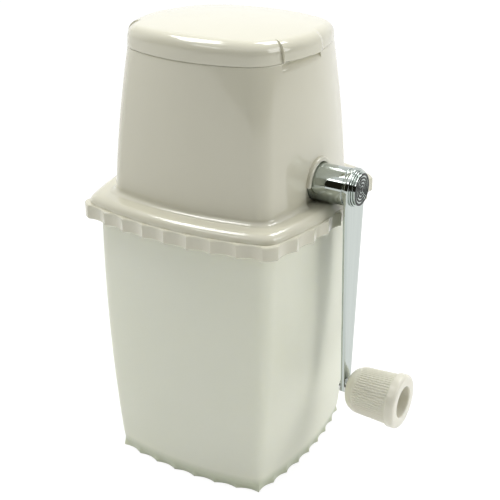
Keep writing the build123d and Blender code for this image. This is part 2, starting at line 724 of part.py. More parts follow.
drive_hole = DRIVE_SQUARE + 2 * PRESS_CLEARANCE
with BuildPart() as crank_arm:
    with BuildSketch(crank_plane.offset(arm_inner_x)) as arm_face:
        Circle(ARM_HEAD_RADIUS)
        with Locations((0, knob_z - shaft_z)):
            Circle(ARM_TIP_RADIUS)
        make_hull()
        Rectangle(drive_hole, drive_hole, mode=Mode.SUBTRACT)
        with Locations((0, knob_z - shaft_z)):
            Circle(KNOB_PIN_RADIUS + PRESS_CLEARANCE, mode=Mode.SUBTRACT)
    extrude(amount=ARM_THICKNESS)

with BuildPart() as crank_cap:
    with BuildSketch(crank_plane.offset(arm_face_x)):
        Circle(CAP_STEP_RADIUS)
    extrude(amount=CAP_STEP)
    with BuildSketch(crank_plane.offset(arm_face_x)):
        Circle(CAP_RADIUS)
    extrude(amount=cap_face_x - arm_face_x)
    with BuildSketch(crank_plane.offset(arm_face_x)):
        Circle(CAP_RADIUS - CAP_WALL)
    extrude(amount=cap_face_x - CAP_WALL - arm_face_x, mode=Mode.SUBTRACT)
    with BuildSketch(crank_plane.offset(cap_face_x)):
        for ring in range(CAP_GROOVES):
            groove_radius = CAP_RADIUS - (ring + 1) * CAP_GROOVE_PITCH
            Circle(groove_radius + CAP_GROOVE_WIDTH / 2)
            Circle(groove_radius - CAP_GROOVE_WIDTH / 2, mode=Mode.SUBTRACT)
    extrude(amount=-CAP_GROOVE_DEPTH, mode=Mode.SUBTRACT)

with BuildPart() as crank_screw:
    with BuildSketch(crank_plane.offset(arm_face_x)):
        Circle(CRANK_SCREW_HEAD_RADIUS)
    extrude(amount=CRANK_SCREW_HEAD)
    with BuildSketch(crank_plane.offset(arm_face_x)):
        Circle(SCREW_RADIUS)
    extrude(amount=-CRANK_SCREW_LENGTH)

# ---------------------------------------------------------------- knob and its pin
rim_start_x = knob_end_x - KNOB_RIM_LENGTH
ribs_start_x = knob_start_x + KNOB_DOME_DEPTH


def rib_star(x, radius):
    """Upright star across the knob's axis, one point for each rib."""
    points = []
    for n in range(2 * KNOB_RIBS):
        turn = math.pi * n / KNOB_RIBS
        reach = radius + KNOB_RIB_DEPTH * (n % 2 - 0.5)
        points.append((reach * math.cos(turn), reach * math.sin(turn)))
    with BuildSketch(knob_plane.offset(x)) as star:
        Polygon(*points, align=None)
    return star.sketch


with BuildPart() as knob:
    # Half section: a domed inner end, the core under the ribs and the rounded rim.
    section_plane = Plane(origin=(0, 0, knob_z), x_dir=(1, 0, 0), z_dir=(0, -1, 0))
    with BuildSketch(section_plane) as knob_profile:
        with BuildLine():
            SagittaArc(
                (knob_start_x, KNOB_WASHER_RADIUS), (ribs_start_x, KNOB_DOME_RADIUS), KNOB_DOME_BULGE
            )
            Polyline(
                (ribs_start_x, KNOB_DOME_RADIUS),
                (rim_start_x, KNOB_BARREL_RADIUS - KNOB_RIB_DEPTH),
                (rim_start_x, KNOB_END_RADIUS),
                (knob_end_x, KNOB_END_RADIUS),
                (knob_end_x, 0),
                (knob_start_x, 0),
                (knob_start_x, KNOB_WASHER_RADIUS),
            )
        make_face()
        rim_corners = knob_profile.vertices().group_by(Axis.Y)[-1].sort_by(Axis.X)
        fillet(rim_corners[0], KNOB_RIM_BACK_ROUND)
        rim_corners = knob_profile.vertices().sort_by(Axis.X)[-2:].sort_by(Axis.Y)
        fillet(rim_corners[-1], KNOB_RIM_ROUND)
    revolve(axis=Axis((0, 0, knob_z), (1, 0, 0)))
    rib_ends = [rib_star(ribs_start_x, KNOB_DOME_RADIUS), rib_star(rim_start_x, KNOB_BARREL_RADIUS)]
    loft(rib_ends, ruled=True)
    with BuildSketch(knob_plane.offset(pocket_floor_x)):
        Circle(KNOB_POCKET_RADIUS)
    extrude(amount=KNOB_POCKET_DEPTH, mode=Mode.SUBTRACT)
    with BuildSketch(knob_plane.offset(knob_start_x)):
        Circle(KNOB_PIN_RADIUS + RUNNING_CLEARANCE)
    extrude(amount=KNOB_LENGTH, mode=Mode.SUBTRACT)

knob_nut_x = pocket_floor_x + LOOSE_CLEARANCE
with BuildPart() as knob_spindle:
    with BuildSketch(knob_plane.offset(arm_inner_x - KNOB_PIN_HEAD)):
        Circle(KNOB_PIN_HEAD_RADIUS)
    extrude(amount=KNOB_PIN_HEAD)
    with BuildSketch(knob_plane.offset(arm_inner_x)):
        Circle(KNOB_PIN_RADIUS)
    extrude(amount=knob_nut_x + KNOB_NUT_THICKNESS + KNOB_PIN_TAIL - arm_inner_x)

with BuildPart() as knob_washer:
    with BuildSketch(knob_plane.offset(arm_face_x)):
        Circle(KNOB_WASHER_RADIUS)
        Circle(KNOB_PIN_RADIUS + RUNNING_CLEARANCE, mode=Mode.SUBTRACT)
    extrude(amount=KNOB_WASHER_THICKNESS)

with BuildPart() as knob_nut:
    with BuildSketch(knob_plane.offset(knob_nut_x)):
        Circle(KNOB_NUT_RADIUS)
        Circle(KNOB_PIN_RADIUS + PRESS_CLEARANCE, mode=Mode.SUBTRACT)
    extrude(amount=KNOB_NUT_THICKNESS)

# ---------------------------------------------------------------- screws
with BuildPart() as frame_screws:
    with BuildSketch(Plane.XY.offset(flange_top_z)):
        with GridLocations(2 * frame_screw_x, 2 * FRAME_SCREW_Y, 2, 2):
            Circle(SCREW_HEAD_RADIUS)
    extrude(amount=SCREW_HEAD)
    with BuildSketch(Plane.XY.offset(flange_top_z)):
        with GridLocations(2 * frame_screw_x, 2 * FRAME_SCREW_Y, 2, 2):
            Circle(SCREW_RADIUS)
    extrude(amount=-FRAME_SCREW_LENGTH)
    with BuildSketch(Plane.XY.offset(flange_top_z + SCREW_HEAD)):
        with GridLocations(2 * frame_screw_x, 2 * FRAME_SCREW_Y, 2, 2):
            Rectangle(2 * SCREW_HEAD_RADIUS, SCREW_SLOT_WIDTH)
    extrude(amount=-SCREW_SLOT_DEPTH, mode=Mode.SUBTRACT)

with BuildPart() as housing_screws:
    with BuildSketch(Plane.XY.offset(collar_seat_z)):
        with GridLocations(2 * boss_centre, 2 * boss_centre, 2, 2):
            Circle(SCREW_HEAD_RADIUS)
    extrude(amount=-SCREW_HEAD)
    with BuildSketch(Plane.XY.offset(collar_seat_z)):
        with GridLocations(2 * boss_centre, 2 * boss_centre, 2, 2):
            Circle(SCREW_RADIUS)
    extrude(amount=HOUSING_SCREW_LENGTH)
    with BuildSketch(Plane.XY.offset(collar_seat_z - SCREW_HEAD)):
        with GridLocations(2 * boss_centre, 2 * boss_centre, 2, 2):
            Rectangle(2 * SCREW_HEAD_RADIUS, SCREW_SLOT_WIDTH)
    extrude(amount=SCREW_SLOT_DEPTH, mode=Mode.SUBTRACT)

# ---------------------------------------------------------------- labels and files
pieces = {
    "container": container,
    "collar": collar,
    "housing": housing,
    "hopper_funnel": hopper_funnel,
    "lid": lid,
    "frame_plate_right": frame_plate_right,
    "frame_plate_left": frame_plate_left,
    "tie_rods": tie_rods,
    "front_comb": front_comb,
    "rear_comb": rear_comb,
    "shaft_bush_right": shaft_bush_right,
    "shaft_bush_left": shaft_bush_left,
    "thrust_washer": thrust_washer,
    "retaining_ring": retaining_ring,
    "cutter_shaft": cutter_shaft,
    "cutter_blades": cutter_blades,
    "blade_spacers": blade_spacers,
    "crank_barrel": crank_barrel,
    "crank_arm": crank_arm,
    "crank_cap": crank_cap,
    "crank_screw": crank_screw,
    "knob": knob,
    "knob_spindle": knob_spindle,
    "knob_washer": knob_washer,
    "knob_nut": knob_nut,
    "frame_screws": frame_screws,
    "housing_screws": housing_screws,
}
for label, piece in pieces.items():
    piece.part.label = label
    export_step(piece.part, f"parts/{label}.step")
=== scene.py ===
"""Studio scene of a hand cranked ice shaver.

A frosted square container on a fluted foot carries a fluted white collar, a glossy white
hopper housing under a crowned lid, and a chrome crank with a ribbed knob. The origin is the
middle of the base on the table, +Z is up, the front faces -Y and the crank stands out to +X.
Sizes in the classes are millimetres, and every mesh is written in metres.
"""

from __future__ import annotations

import logging
import math
from dataclasses import dataclass, field
from enum import Enum

import bmesh
import bpy
import numpy as np
from mathutils import Matrix

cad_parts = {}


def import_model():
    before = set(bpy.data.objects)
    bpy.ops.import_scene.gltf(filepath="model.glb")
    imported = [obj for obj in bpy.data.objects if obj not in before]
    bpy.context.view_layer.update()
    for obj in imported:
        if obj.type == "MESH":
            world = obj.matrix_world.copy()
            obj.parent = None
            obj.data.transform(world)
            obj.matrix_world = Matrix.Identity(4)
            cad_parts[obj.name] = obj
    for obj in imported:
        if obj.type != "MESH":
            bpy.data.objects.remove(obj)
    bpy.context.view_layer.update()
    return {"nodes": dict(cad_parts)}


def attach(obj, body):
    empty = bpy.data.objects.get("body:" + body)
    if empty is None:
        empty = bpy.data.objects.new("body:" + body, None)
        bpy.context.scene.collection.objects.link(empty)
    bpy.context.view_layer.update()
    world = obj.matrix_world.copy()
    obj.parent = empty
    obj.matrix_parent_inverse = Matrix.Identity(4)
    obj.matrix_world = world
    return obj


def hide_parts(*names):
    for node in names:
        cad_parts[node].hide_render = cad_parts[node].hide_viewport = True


LOG = logging.getLogger("ice_shaver")
MM = 0.001


# ---------------------------------------------------------------- outlines
@dataclass(frozen=True)
class Steps:
    """Where the points of a ring lie.

    Attributes:
        east: Shares from -1 to 1 along the sides that face X, rising with y.
        north: Shares from -1 to 1 along the sides that face Y, rising with x.
        corner: Number of points within each corner.
    """

    east: np.ndarray
    north: np.ndarray
    corner: int


@dataclass(frozen=True)
class Outline:
    """Level outline of four sides that bow outwards and meet in round corners.

    Attributes:
        half_x: Reach of the bowed side along X.
        half_y: Reach of the bowed side along Y.
        bow: How far each side stands out at its middle beyond its ends.
        corner: Radius of the round corners.
    """

    half_x: float
    half_y: float
    bow: float
    corner: float

    def inset(self, wall: float) -> Outline:
        """Return the outline drawn in by a wall, or let out where wall is negative."""
        return Outline(self.half_x - wall, self.half_y - wall, self.bow, max(self.corner - wall, 0.4))

    def ring(self, steps: Steps) -> tuple[np.ndarray, np.ndarray]:
        """Return the closed outline and its outward directions, counter-clockwise.

        Each side is a circle arc through its two ends and its proud middle. A corner is a
        circle that touches both side arcs from within, so its centre lies at the arcs' radii
        less the corner's radius from their two centres. The +X side, the first corner and the
        +Y side are worked out and mirrored.

        Args:
            steps: Where points lie along the sides and corners.

        Returns:
            Rows of x, y for the points, and rows of x, y for the directions.
        """
        a, b = self.half_x - self.bow, self.half_y - self.bow
        radius_x = (b * b + self.bow**2) / (2 * self.bow)
        radius_y = (a * a + self.bow**2) / (2 * self.bow)
        centre_x = np.array([self.half_x - radius_x, 0.0])
        centre_y = np.array([0.0, self.half_y - radius_y])
        between = centre_y - centre_x
        span = float(np.hypot(*between))
        reach_x, reach_y = radius_x - self.corner, radius_y - self.corner
        along = (span**2 + reach_x**2 - reach_y**2) / (2 * span)
        across = math.sqrt(max(reach_x**2 - along**2, 0.0))
        middle = centre_x + between / span * along
        sideways = np.array([-between[1], between[0]]) / span * across
        corner = max(middle + sideways, middle - sideways, key=lambda p: p[0] + p[1])
        turn_x = math.atan2(*(corner - centre_x)[::-1])
        turn_y = math.atan2(*(corner - centre_y)[::-1])

        def arc(centre: np.ndarray, radius: float, turn: np.ndarray) -> np.ndarray:
            away = np.stack([np.cos(turn), np.sin(turn)], axis=1)
            return np.concatenate([centre + radius * away, away], axis=1)

        east = arc(centre_x, radius_x, steps.east * turn_x)
        bend = arc(corner, self.corner, np.linspace(turn_x, turn_y, steps.corner + 2)[1:-1])
        north = arc(centre_y, radius_y, math.pi / 2 - steps.north[::-1] * (math.pi / 2 - turn_y))
        flip_x, flip_y = np.array([-1, 1, -1, 1]), np.array([1, -1, 1, -1])
        rows = np.concatenate(
            [
                east,
                bend,
                north,
                (bend * flip_x)[::-1],
                (east * flip_x)[::-1],
                -bend,
                (north * flip_y)[::-1],
                (bend * flip_y)[::-1],
            ]
        )
        return rows[:, :2], rows[:, 2:]

    def side_x(self, y: np.ndarray) -> np.ndarray:
        """Return the +X side's x at each y, on its circle arc."""
        half_length = self.half_y - self.bow
        radius = (half_length**2 + self.bow**2) / (2 * self.bow)
        return self.half_x - radius + np.sqrt(radius**2 - y**2)

    def side_share(self, y: float) -> float:
        """Return the share of the +X side's turn at which y lies."""
        points, _ = self.ring(Steps(np.array([1.0]), np.array([1.0]), 0))
        radius = ((self.half_y - self.bow) ** 2 + self.bow**2) / (2 * self.bow)
        return math.asin(y / radius) / math.asin(points[0, 1] / radius)

    def reach(self, turn: np.ndarray) -> np.ndarray:
        """Return how far the outline lies from the middle in each direction, in mm."""
        even = np.linspace(-1, 1, 321)
        return polar_reach(self.ring(Steps(even, even, 60))[0], turn)


def level_between(levels: tuple[tuple[float, Outline], ...], z: float) -> Outline:
    """Return the outline at a height, on a smooth curve through three levels of height and outline."""
    (a, _), (b, _), (c, _) = levels
    weights = np.array(
        [
            (z - b) * (z - c) / ((a - b) * (a - c)),
            (z - a) * (z - c) / ((b - a) * (b - c)),
            (z - a) * (z - b) / ((c - a) * (c - b)),
        ]
    )
    return Outline(*(weights @ np.array([[o.half_x, o.half_y, o.bow, o.corner] for _, o in levels])))


def polar_reach(loop: np.ndarray, turn: np.ndarray) -> np.ndarray:
    """Return a closed loop's distance from the middle in each direction.

    The loop's own angles and distances are put in order of angle, and the distance at each
    asked angle is read between them.

    Args:
        loop: Rows of x, y round the middle.
        turn: Angles in radians.

    Returns:
        One distance for each angle.
    """
    angle = np.mod(np.arctan2(loop[:, 1], loop[:, 0]), 2 * math.pi)
    order = np.argsort(angle)
    return np.interp(np.mod(turn, 2 * math.pi), angle[order], np.hypot(*loop[order].T), period=2 * math.pi)


def round_box_loop(half_x: float, half_y: float, corner: float, per_corner: int = 16) -> np.ndarray:
    """Return a closed rectangle with round corners, counter-clockwise, with filled sides."""
    turn = np.linspace(0, math.pi / 2, per_corner)
    centre = np.array([half_x - corner, half_y - corner])
    quarter = centre + corner * np.stack([np.cos(turn), np.sin(turn)], axis=1)
    loop = np.concatenate([quarter, (quarter * [-1, 1])[::-1], -quarter, (quarter * [1, -1])[::-1]])
    steps = np.linspace(0, 1, 24, endpoint=False)[:, None]
    return np.concatenate([a + (b - a) * steps for a, b in zip(loop, np.roll(loop, -1, axis=0))])


def fluted_loop(base: Outline, flutes: tuple[int, int], depth: float, tooth: float, bulge: float) -> np.ndarray:
    """Return an outline of hollow flutes between sharp cusps that lie on bowed sides.

    The cusps lie at even steps along each side, on the side's parabola. Between two cusps
    the line dips inwards as depth times (1 - t squared), where t runs from -1 to 1. At each
    corner a short tooth joins the last cusp of one side to the first of the next, and bulges
    outwards.

    Args:
        base: The bowed sides that the cusps lie on.
        flutes: Number of flutes on the sides that face Y, and on those that face X.
        depth: Depth of a flute.
        tooth: Length from the corner to the last cusp, or 0 for a sharp corner.
        bulge: How far the corner tooth stands out.

    Returns:
        Rows of x, y, counter-clockwise.
    """
    x, y = base.half_x - base.bow, base.half_y - base.bow
    share_y = (1 - tooth / y) * np.linspace(-1, 1, flutes[1] + 1)
    share_x = (1 - tooth / x) * np.linspace(-1, 1, flutes[0] + 1)
    east = np.stack([base.half_x - base.bow * share_y**2, y * share_y], axis=1)
    north = np.stack([-x * share_x, base.half_y - base.bow * share_x**2], axis=1)
    cusps = np.concatenate([east, north, -east, -north])
    dips = np.concatenate(
        [np.r_[np.full(len(side) - 1, depth), -bulge if tooth else 0.0] for side in (east, north, east, north)]
    )
    following = np.roll(cusps, -1, axis=0)
    run = following - cusps
    length = np.maximum(np.hypot(*run.T), 1e-9)
    inwards = np.stack([-run[:, 1], run[:, 0]], axis=1) / length[:, None]
    share = np.linspace(0, 1, 15)[:-1]
    dip = (1 - (2 * share - 1) ** 2)[None, :, None] * dips[:, None, None] * inwards[:, None, :]
    loop = cusps[:, None, :] + run[:, None, :] * share[None, :, None] + dip
    kept = length > 1e-6
    return loop[kept].reshape(-1, 2)


# ---------------------------------------------------------------- surfaces
class Skin:
    """Grids of points that are joined into one mesh with smooth faces and crisp edges."""

    def __init__(self, name: str) -> None:
        """Start an empty skin for the piece of that name."""
        self.name = name
        self.points: list[np.ndarray] = []
        self.faces: list[np.ndarray] = []
        self.count = 0

    def grid(self, points: np.ndarray, closed: bool = True, keep: np.ndarray | None = None) -> Skin:
        """Add a grid of rows of points, joined to the next row and the next point.

        Args:
            points: Array of rows, columns and x, y, z in millimetres.
            closed: Whether the last column joins the first.
            keep: Which quads are made, by row and column, or None for all.

        Returns:
            This skin, so that calls can be chained.
        """
        rows, columns = points.shape[:2]
        index = np.arange(rows * columns).reshape(rows, columns) + self.count
        if closed:
            index = np.concatenate([index, index[:, :1]], axis=1)
        quads = np.stack([index[:-1, :-1], index[:-1, 1:], index[1:, 1:], index[1:, :-1]], axis=-1)
        self.faces.append(quads[keep] if keep is not None else quads.reshape(-1, 4))
        self.points.append(points.reshape(-1, 3))
        self.count += rows * columns
        return self

    def build(self, crisp: float = 30.0, closed_shell: bool = True) -> bpy.types.Object:
        """Make the object, with doubles merged and faces pointing outwards.

        Args:
            crisp: Edges that turn by more degrees than this stay sharp.
            closed_shell: Whether the faces are turned to point out of the closed form.

        Returns:
            The new object, at the origin.
        """
        mesh = bpy.data.meshes.new(self.name)
        points = np.concatenate(self.points) * MM
        quads = np.concatenate(self.faces)
        mesh.from_pydata(points, [], quads)
        piece = bpy.data.objects.new(self.name, mesh)
        bpy.context.scene.collection.objects.link(piece)
        shell = bmesh.new()
        shell.from_mesh(mesh)
        bmesh.ops.remove_doubles(shell, verts=shell.verts, dist=2e-6)
        bmesh.ops.dissolve_degenerate(shell, dist=1e-7, edges=shell.edges)
        if closed_shell:
            bmesh.ops.recalc_face_normals(shell, faces=shell.faces)
        shell.to_mesh(mesh)
        shell.free()
        mesh.polygons.foreach_set("use_smooth", np.ones(len(mesh.polygons), dtype=bool))
        mesh.set_sharp_from_angle(angle=math.radians(crisp))
        return piece


def level_ring(turn: np.ndarray, reach: np.ndarray | float, height: np.ndarray | float) -> np.ndarray:
    """Return a ring of points at a distance from the Z axis and a height, for each angle."""
    reach = np.broadcast_to(reach, turn.shape)
    return np.stack([reach * np.cos(turn), reach * np.sin(turn), np.broadcast_to(height, turn.shape)], axis=1)


def rounded_profile(corners: list[tuple[float, float, float]], steps: int = 6) -> np.ndarray:
    """Return an open profile whose corners are rounded.

    Each inner corner is left one tangent length before it and met again one tangent length
    after it, on a quadratic curve that leans on the corner itself.

    Args:
        corners: Rows of along, radius and rounding size, in millimetres.
        steps: Points on each rounded corner.

    Returns:
        Rows of along and radius.
    """
    at = np.array([c[:2] for c in corners], dtype=float)
    size = [c[2] for c in corners]
    rows = [at[:1]]
    share = np.linspace(0, 1, steps)[:, None]
    for i in range(1, len(at) - 1):
        before, after = at[i - 1] - at[i], at[i + 1] - at[i]
        near, far = np.hypot(*before), np.hypot(*after)
        cut = min(size[i], near * 0.49, far * 0.49)
        if cut <= 0:
            rows.append(at[i : i + 1])
            continue
        start, end = at[i] + before / near * cut, at[i] + after / far * cut
        rows.append((1 - share) ** 2 * start + 2 * share * (1 - share) * at[i] + share**2 * end)
    rows.append(at[-1:])
    return np.concatenate(rows)


def turned(profile: np.ndarray, height: float, columns: int = 128) -> np.ndarray:
    """Return a surface turned about the line along X at a height.

    Args:
        profile: Rows of x and radius.
        height: Height of the axis.
        columns: Points round the axis.

    Returns:
        A grid with one row for each profile point.
    """
    turn = np.linspace(0, 2 * math.pi, columns, endpoint=False)
    along = np.broadcast_to(profile[:, :1], (len(profile), columns))
    across = profile[:, 1:] * np.cos(turn)
    up = height + profile[:, 1:] * np.sin(turn)
    return np.stack([along, across, up], axis=-1)


# ---------------------------------------------------------------- finishes
class Slot(Enum):
    """Material slots of the record."""

    FROSTED = "frosted_plastic"
    WHITE = "white_plastic"
    FRAME = "frame_steel"
    BUSH = "bush_plastic"
    CUTTER = "cutter_steel"
    CHROME = "crank_chrome"
    KNOB = "knob_plastic"
    FASTENER = "fastener_steel"


class NodeGroups:
    """Shared shader node groups, each built once."""

    @staticmethod
    def _new(name: str, inputs: dict[str, float], outputs: dict[str, str]) -> bpy.types.NodeTree:
        """Return a new group with number inputs and the named outputs."""
        group = bpy.data.node_groups.new(name, "ShaderNodeTree")
        for label, value in inputs.items():
            socket = group.interface.new_socket(label, in_out="INPUT", socket_type="NodeSocketFloat")
            socket.default_value = value
        for label, kind in outputs.items():
            group.interface.new_socket(label, in_out="OUTPUT", socket_type=kind)
        return group

    @classmethod
    def moulding(cls) -> bpy.types.NodeTree:
        """Return the moulded plastic group: slow waves, fine grain and a faint unevenness.

        Inputs are Wave Scale, Grain Scale and Grain Share. Outputs are Height, for a Bump node,
        and Cloud, a slow mask from 0 to 1.
        """
        name = "moulded_skin"
        if name in bpy.data.node_groups:
            return bpy.data.node_groups[name]
        group = cls._new(
            name,
            {"Wave Scale": 40.0, "Grain Scale": 1800.0, "Grain Share": 0.1},
            {"Height": "NodeSocketFloat", "Cloud": "NodeSocketFloat"},
        )
        nodes, links = group.nodes, group.links
        entry, result = nodes.new("NodeGroupInput"), nodes.new("NodeGroupOutput")
        place = nodes.new("ShaderNodeTexCoord")
        wave, grain, cloud = (nodes.new("ShaderNodeTexNoise") for _ in range(3))
        wave.inputs["Detail"].default_value = 1.5
        grain.inputs["Detail"].default_value = 2.0
        cloud.inputs["Scale"].default_value = 14.0
        cloud.inputs["Detail"].default_value = 3.0
        for noise in (wave, grain, cloud):
            links.new(place.outputs["Object"], noise.inputs["Vector"])
        links.new(entry.outputs["Wave Scale"], wave.inputs["Scale"])
        links.new(entry.outputs["Grain Scale"], grain.inputs["Scale"])
        share = nodes.new("ShaderNodeMath")
        share.operation = "MULTIPLY"
        links.new(grain.outputs["Fac"], share.inputs[0])
        links.new(entry.outputs["Grain Share"], share.inputs[1])
        total = nodes.new("ShaderNodeMath")
        total.operation = "ADD"
        links.new(wave.outputs["Fac"], total.inputs[0])
        links.new(share.outputs[0], total.inputs[1])
        links.new(total.outputs[0], result.inputs["Height"])
        spread = nodes.new("ShaderNodeMapRange")
        spread.inputs["From Min"].default_value = 0.35
        spread.inputs["From Max"].default_value = 0.65
        links.new(cloud.outputs["Fac"], spread.inputs["Value"])
        links.new(spread.outputs["Result"], result.inputs["Cloud"])
        return group

    @classmethod
    def brushing(cls) -> bpy.types.NodeTree:
        """Return the worked metal group: fine scratches drawn out along one direction.

        Inputs are Scale and Stretch X, Y and Z. Outputs are Height and Streak, a mask from 0
        to 1 for the roughness.
        """
        name = "worked_metal"
        if name in bpy.data.node_groups:
            return bpy.data.node_groups[name]
        group = cls._new(
            name,
            {"Scale": 900.0, "Stretch X": 1.0, "Stretch Y": 1.0, "Stretch Z": 0.03},
            {"Height": "NodeSocketFloat", "Streak": "NodeSocketFloat"},
        )
        nodes, links = group.nodes, group.links
        entry, result = nodes.new("NodeGroupInput"), nodes.new("NodeGroupOutput")
        place, stretch = nodes.new("ShaderNodeTexCoord"), nodes.new("ShaderNodeCombineXYZ")
        product = nodes.new("ShaderNodeVectorMath")
        product.operation = "MULTIPLY"
        for axis in "XYZ":
            links.new(entry.outputs[f"Stretch {axis}"], stretch.inputs[axis])
        links.new(place.outputs["Object"], product.inputs[0])
        links.new(stretch.outputs[0], product.inputs[1])
        scratch = nodes.new("ShaderNodeTexNoise")
        scratch.inputs["Detail"].default_value = 4.0
        links.new(product.outputs[0], scratch.inputs["Vector"])
        links.new(entry.outputs["Scale"], scratch.inputs["Scale"])
        links.new(scratch.outputs["Fac"], result.inputs["Height"])
        spread = nodes.new("ShaderNodeMapRange")
        spread.inputs["From Min"].default_value = 0.3
        spread.inputs["From Max"].default_value = 0.7
        links.new(scratch.outputs["Fac"], spread.inputs["Value"])
        links.new(spread.outputs["Result"], result.inputs["Streak"])
        return group


def empty_material(name: str) -> tuple[bpy.types.Material, bpy.types.Node]:
    """Return a new material and its Principled shader."""
    material = bpy.data.materials.new(name)
    material.use_nodes = True
    return material, material.node_tree.nodes["Principled BSDF"]


def mixed_colour(
    tree: bpy.types.NodeTree, mask: bpy.types.NodeSocket, first: tuple, second: tuple
) -> bpy.types.NodeSocket:
    """Return a colour that runs from first to second as the mask rises."""
    mix = tree.nodes.new("ShaderNodeMix")
    mix.data_type = "RGBA"
    mix.inputs[6].default_value = (*first, 1.0)
    mix.inputs[7].default_value = (*second, 1.0)
    tree.links.new(mask, mix.inputs[0])
    return mix.outputs[2]


def ranged(
    tree: bpy.types.NodeTree, mask: bpy.types.NodeSocket, low: float, high: float
) -> bpy.types.NodeSocket:
    """Return a value that runs from low to high as the mask runs from 0 to 1."""
    span = tree.nodes.new("ShaderNodeMapRange")
    span.inputs["To Min"].default_value = low
    span.inputs["To Max"].default_value = high
    tree.links.new(mask, span.inputs["Value"])
    return span.outputs["Result"]


def seen_rays(tree: bpy.types.NodeTree) -> bpy.types.NodeSocket:
    """Return 1 for the rays of the eye and for those that mirror or pass through, and 0 for others."""
    path = tree.nodes.new("ShaderNodeLightPath")
    found = path.outputs["Is Camera Ray"]
    for label in ("Is Glossy Ray", "Is Transmission Ray"):
        most = tree.nodes.new("ShaderNodeMath")
        most.operation = "MAXIMUM"
        tree.links.new(found, most.inputs[0])
        tree.links.new(path.outputs[label], most.inputs[1])
        found = most.outputs[0]
    return found


@dataclass(frozen=True)
class Band:
    """Part of a piece whose colour turns along one axis: painted shade on the container's foot, a near-black
    face on the crank's cap.

    Attributes:
        axis: Axis of the object along which it starts.
        start: Place at which the colour starts to turn, in metres.
        full: Place from which on the colour is the band's own, in metres.
        colour: The band's colour, linear.
    """

    axis: str
    start: float
    full: float
    colour: tuple[float, float, float]

    def over(self, tree: bpy.types.NodeTree, colour: bpy.types.NodeSocket) -> bpy.types.NodeSocket:
        """Return the given colour with the band's laid over it."""
        place, split = tree.nodes.new("ShaderNodeTexCoord"), tree.nodes.new("ShaderNodeSeparateXYZ")
        turn = tree.nodes.new("ShaderNodeMapRange")
        turn.inputs["From Min"].default_value = self.start
        turn.inputs["From Max"].default_value = self.full
        tree.links.new(place.outputs["Object"], split.inputs[0])
        tree.links.new(split.outputs[self.axis], turn.inputs["Value"])
        mixed = mixed_colour(tree, turn.outputs["Result"], self.colour, self.colour)
        tree.links.new(colour, mixed.node.inputs[6])
        return mixed


@dataclass(frozen=True)
class Plastic:
    """Moulded plastic.

    Attributes:
        name: Name of the material.
        colour: Its usual colour, linear.
        drift: The colour that it drifts to in slow clouds.
        rough: Lowest and highest roughness.
        bump: Strength of the moulded unevenness.
        distance: Height of the unevenness, in metres.
        wave: Scale of the slow waves.
        grain: Scale and share of the fine grain.
        coat: Weight of the clear gloss.
        scatter: Weight of the light that passes under the skin.
        reach: How far that light passes, in metres.
        pass_light: Share of light that goes through.
        foot: A band of painted shade, darker towards the bottom, or None.
    """

    name: str
    colour: tuple[float, float, float]
    drift: tuple[float, float, float]
    rough: tuple[float, float] = (0.2, 0.26)
    bump: float = 0.05
    distance: float = 0.0002
    wave: float = 40.0
    grain: tuple[float, float] = (1800.0, 0.1)
    coat: float = 0.0
    scatter: float = 0.0
    reach: float = 0.004
    pass_light: float = 0.0
    foot: Band | None = None

    def make(self) -> bpy.types.Material:
        """Return the material."""
        material, shader = empty_material(self.name)
        tree = material.node_tree
        skin = tree.nodes.new("ShaderNodeGroup")
        skin.node_tree = NodeGroups.moulding()
        skin.inputs["Wave Scale"].default_value = self.wave
        skin.inputs["Grain Scale"].default_value = self.grain[0]
        skin.inputs["Grain Share"].default_value = self.grain[1]
        colour = mixed_colour(tree, skin.outputs["Cloud"], self.colour, self.drift)
        # painted shade: the foot band darkens the colour towards the bottom of the piece
        tree.links.new(self.foot.over(tree, colour) if self.foot else colour, shader.inputs["Base Color"])
        tree.links.new(ranged(tree, skin.outputs["Cloud"], *self.rough), shader.inputs["Roughness"])
        bump = tree.nodes.new("ShaderNodeBump")
        bump.inputs["Strength"].default_value = self.bump
        bump.inputs["Distance"].default_value = self.distance
        tree.links.new(skin.outputs["Height"], bump.inputs["Height"])
        tree.links.new(bump.outputs["Normal"], shader.inputs["Normal"])
        shader.inputs["IOR"].default_value = 1.5
        shader.inputs["Coat Weight"].default_value = self.coat
        shader.inputs["Coat Roughness"].default_value = 0.06
        shader.inputs["Subsurface Weight"].default_value = self.scatter
        shader.inputs["Subsurface Radius"].default_value = (1.0, 0.95, 0.8)
        shader.inputs["Subsurface Scale"].default_value = self.reach
        shader.inputs["Transmission Weight"].default_value = self.pass_light
        return material


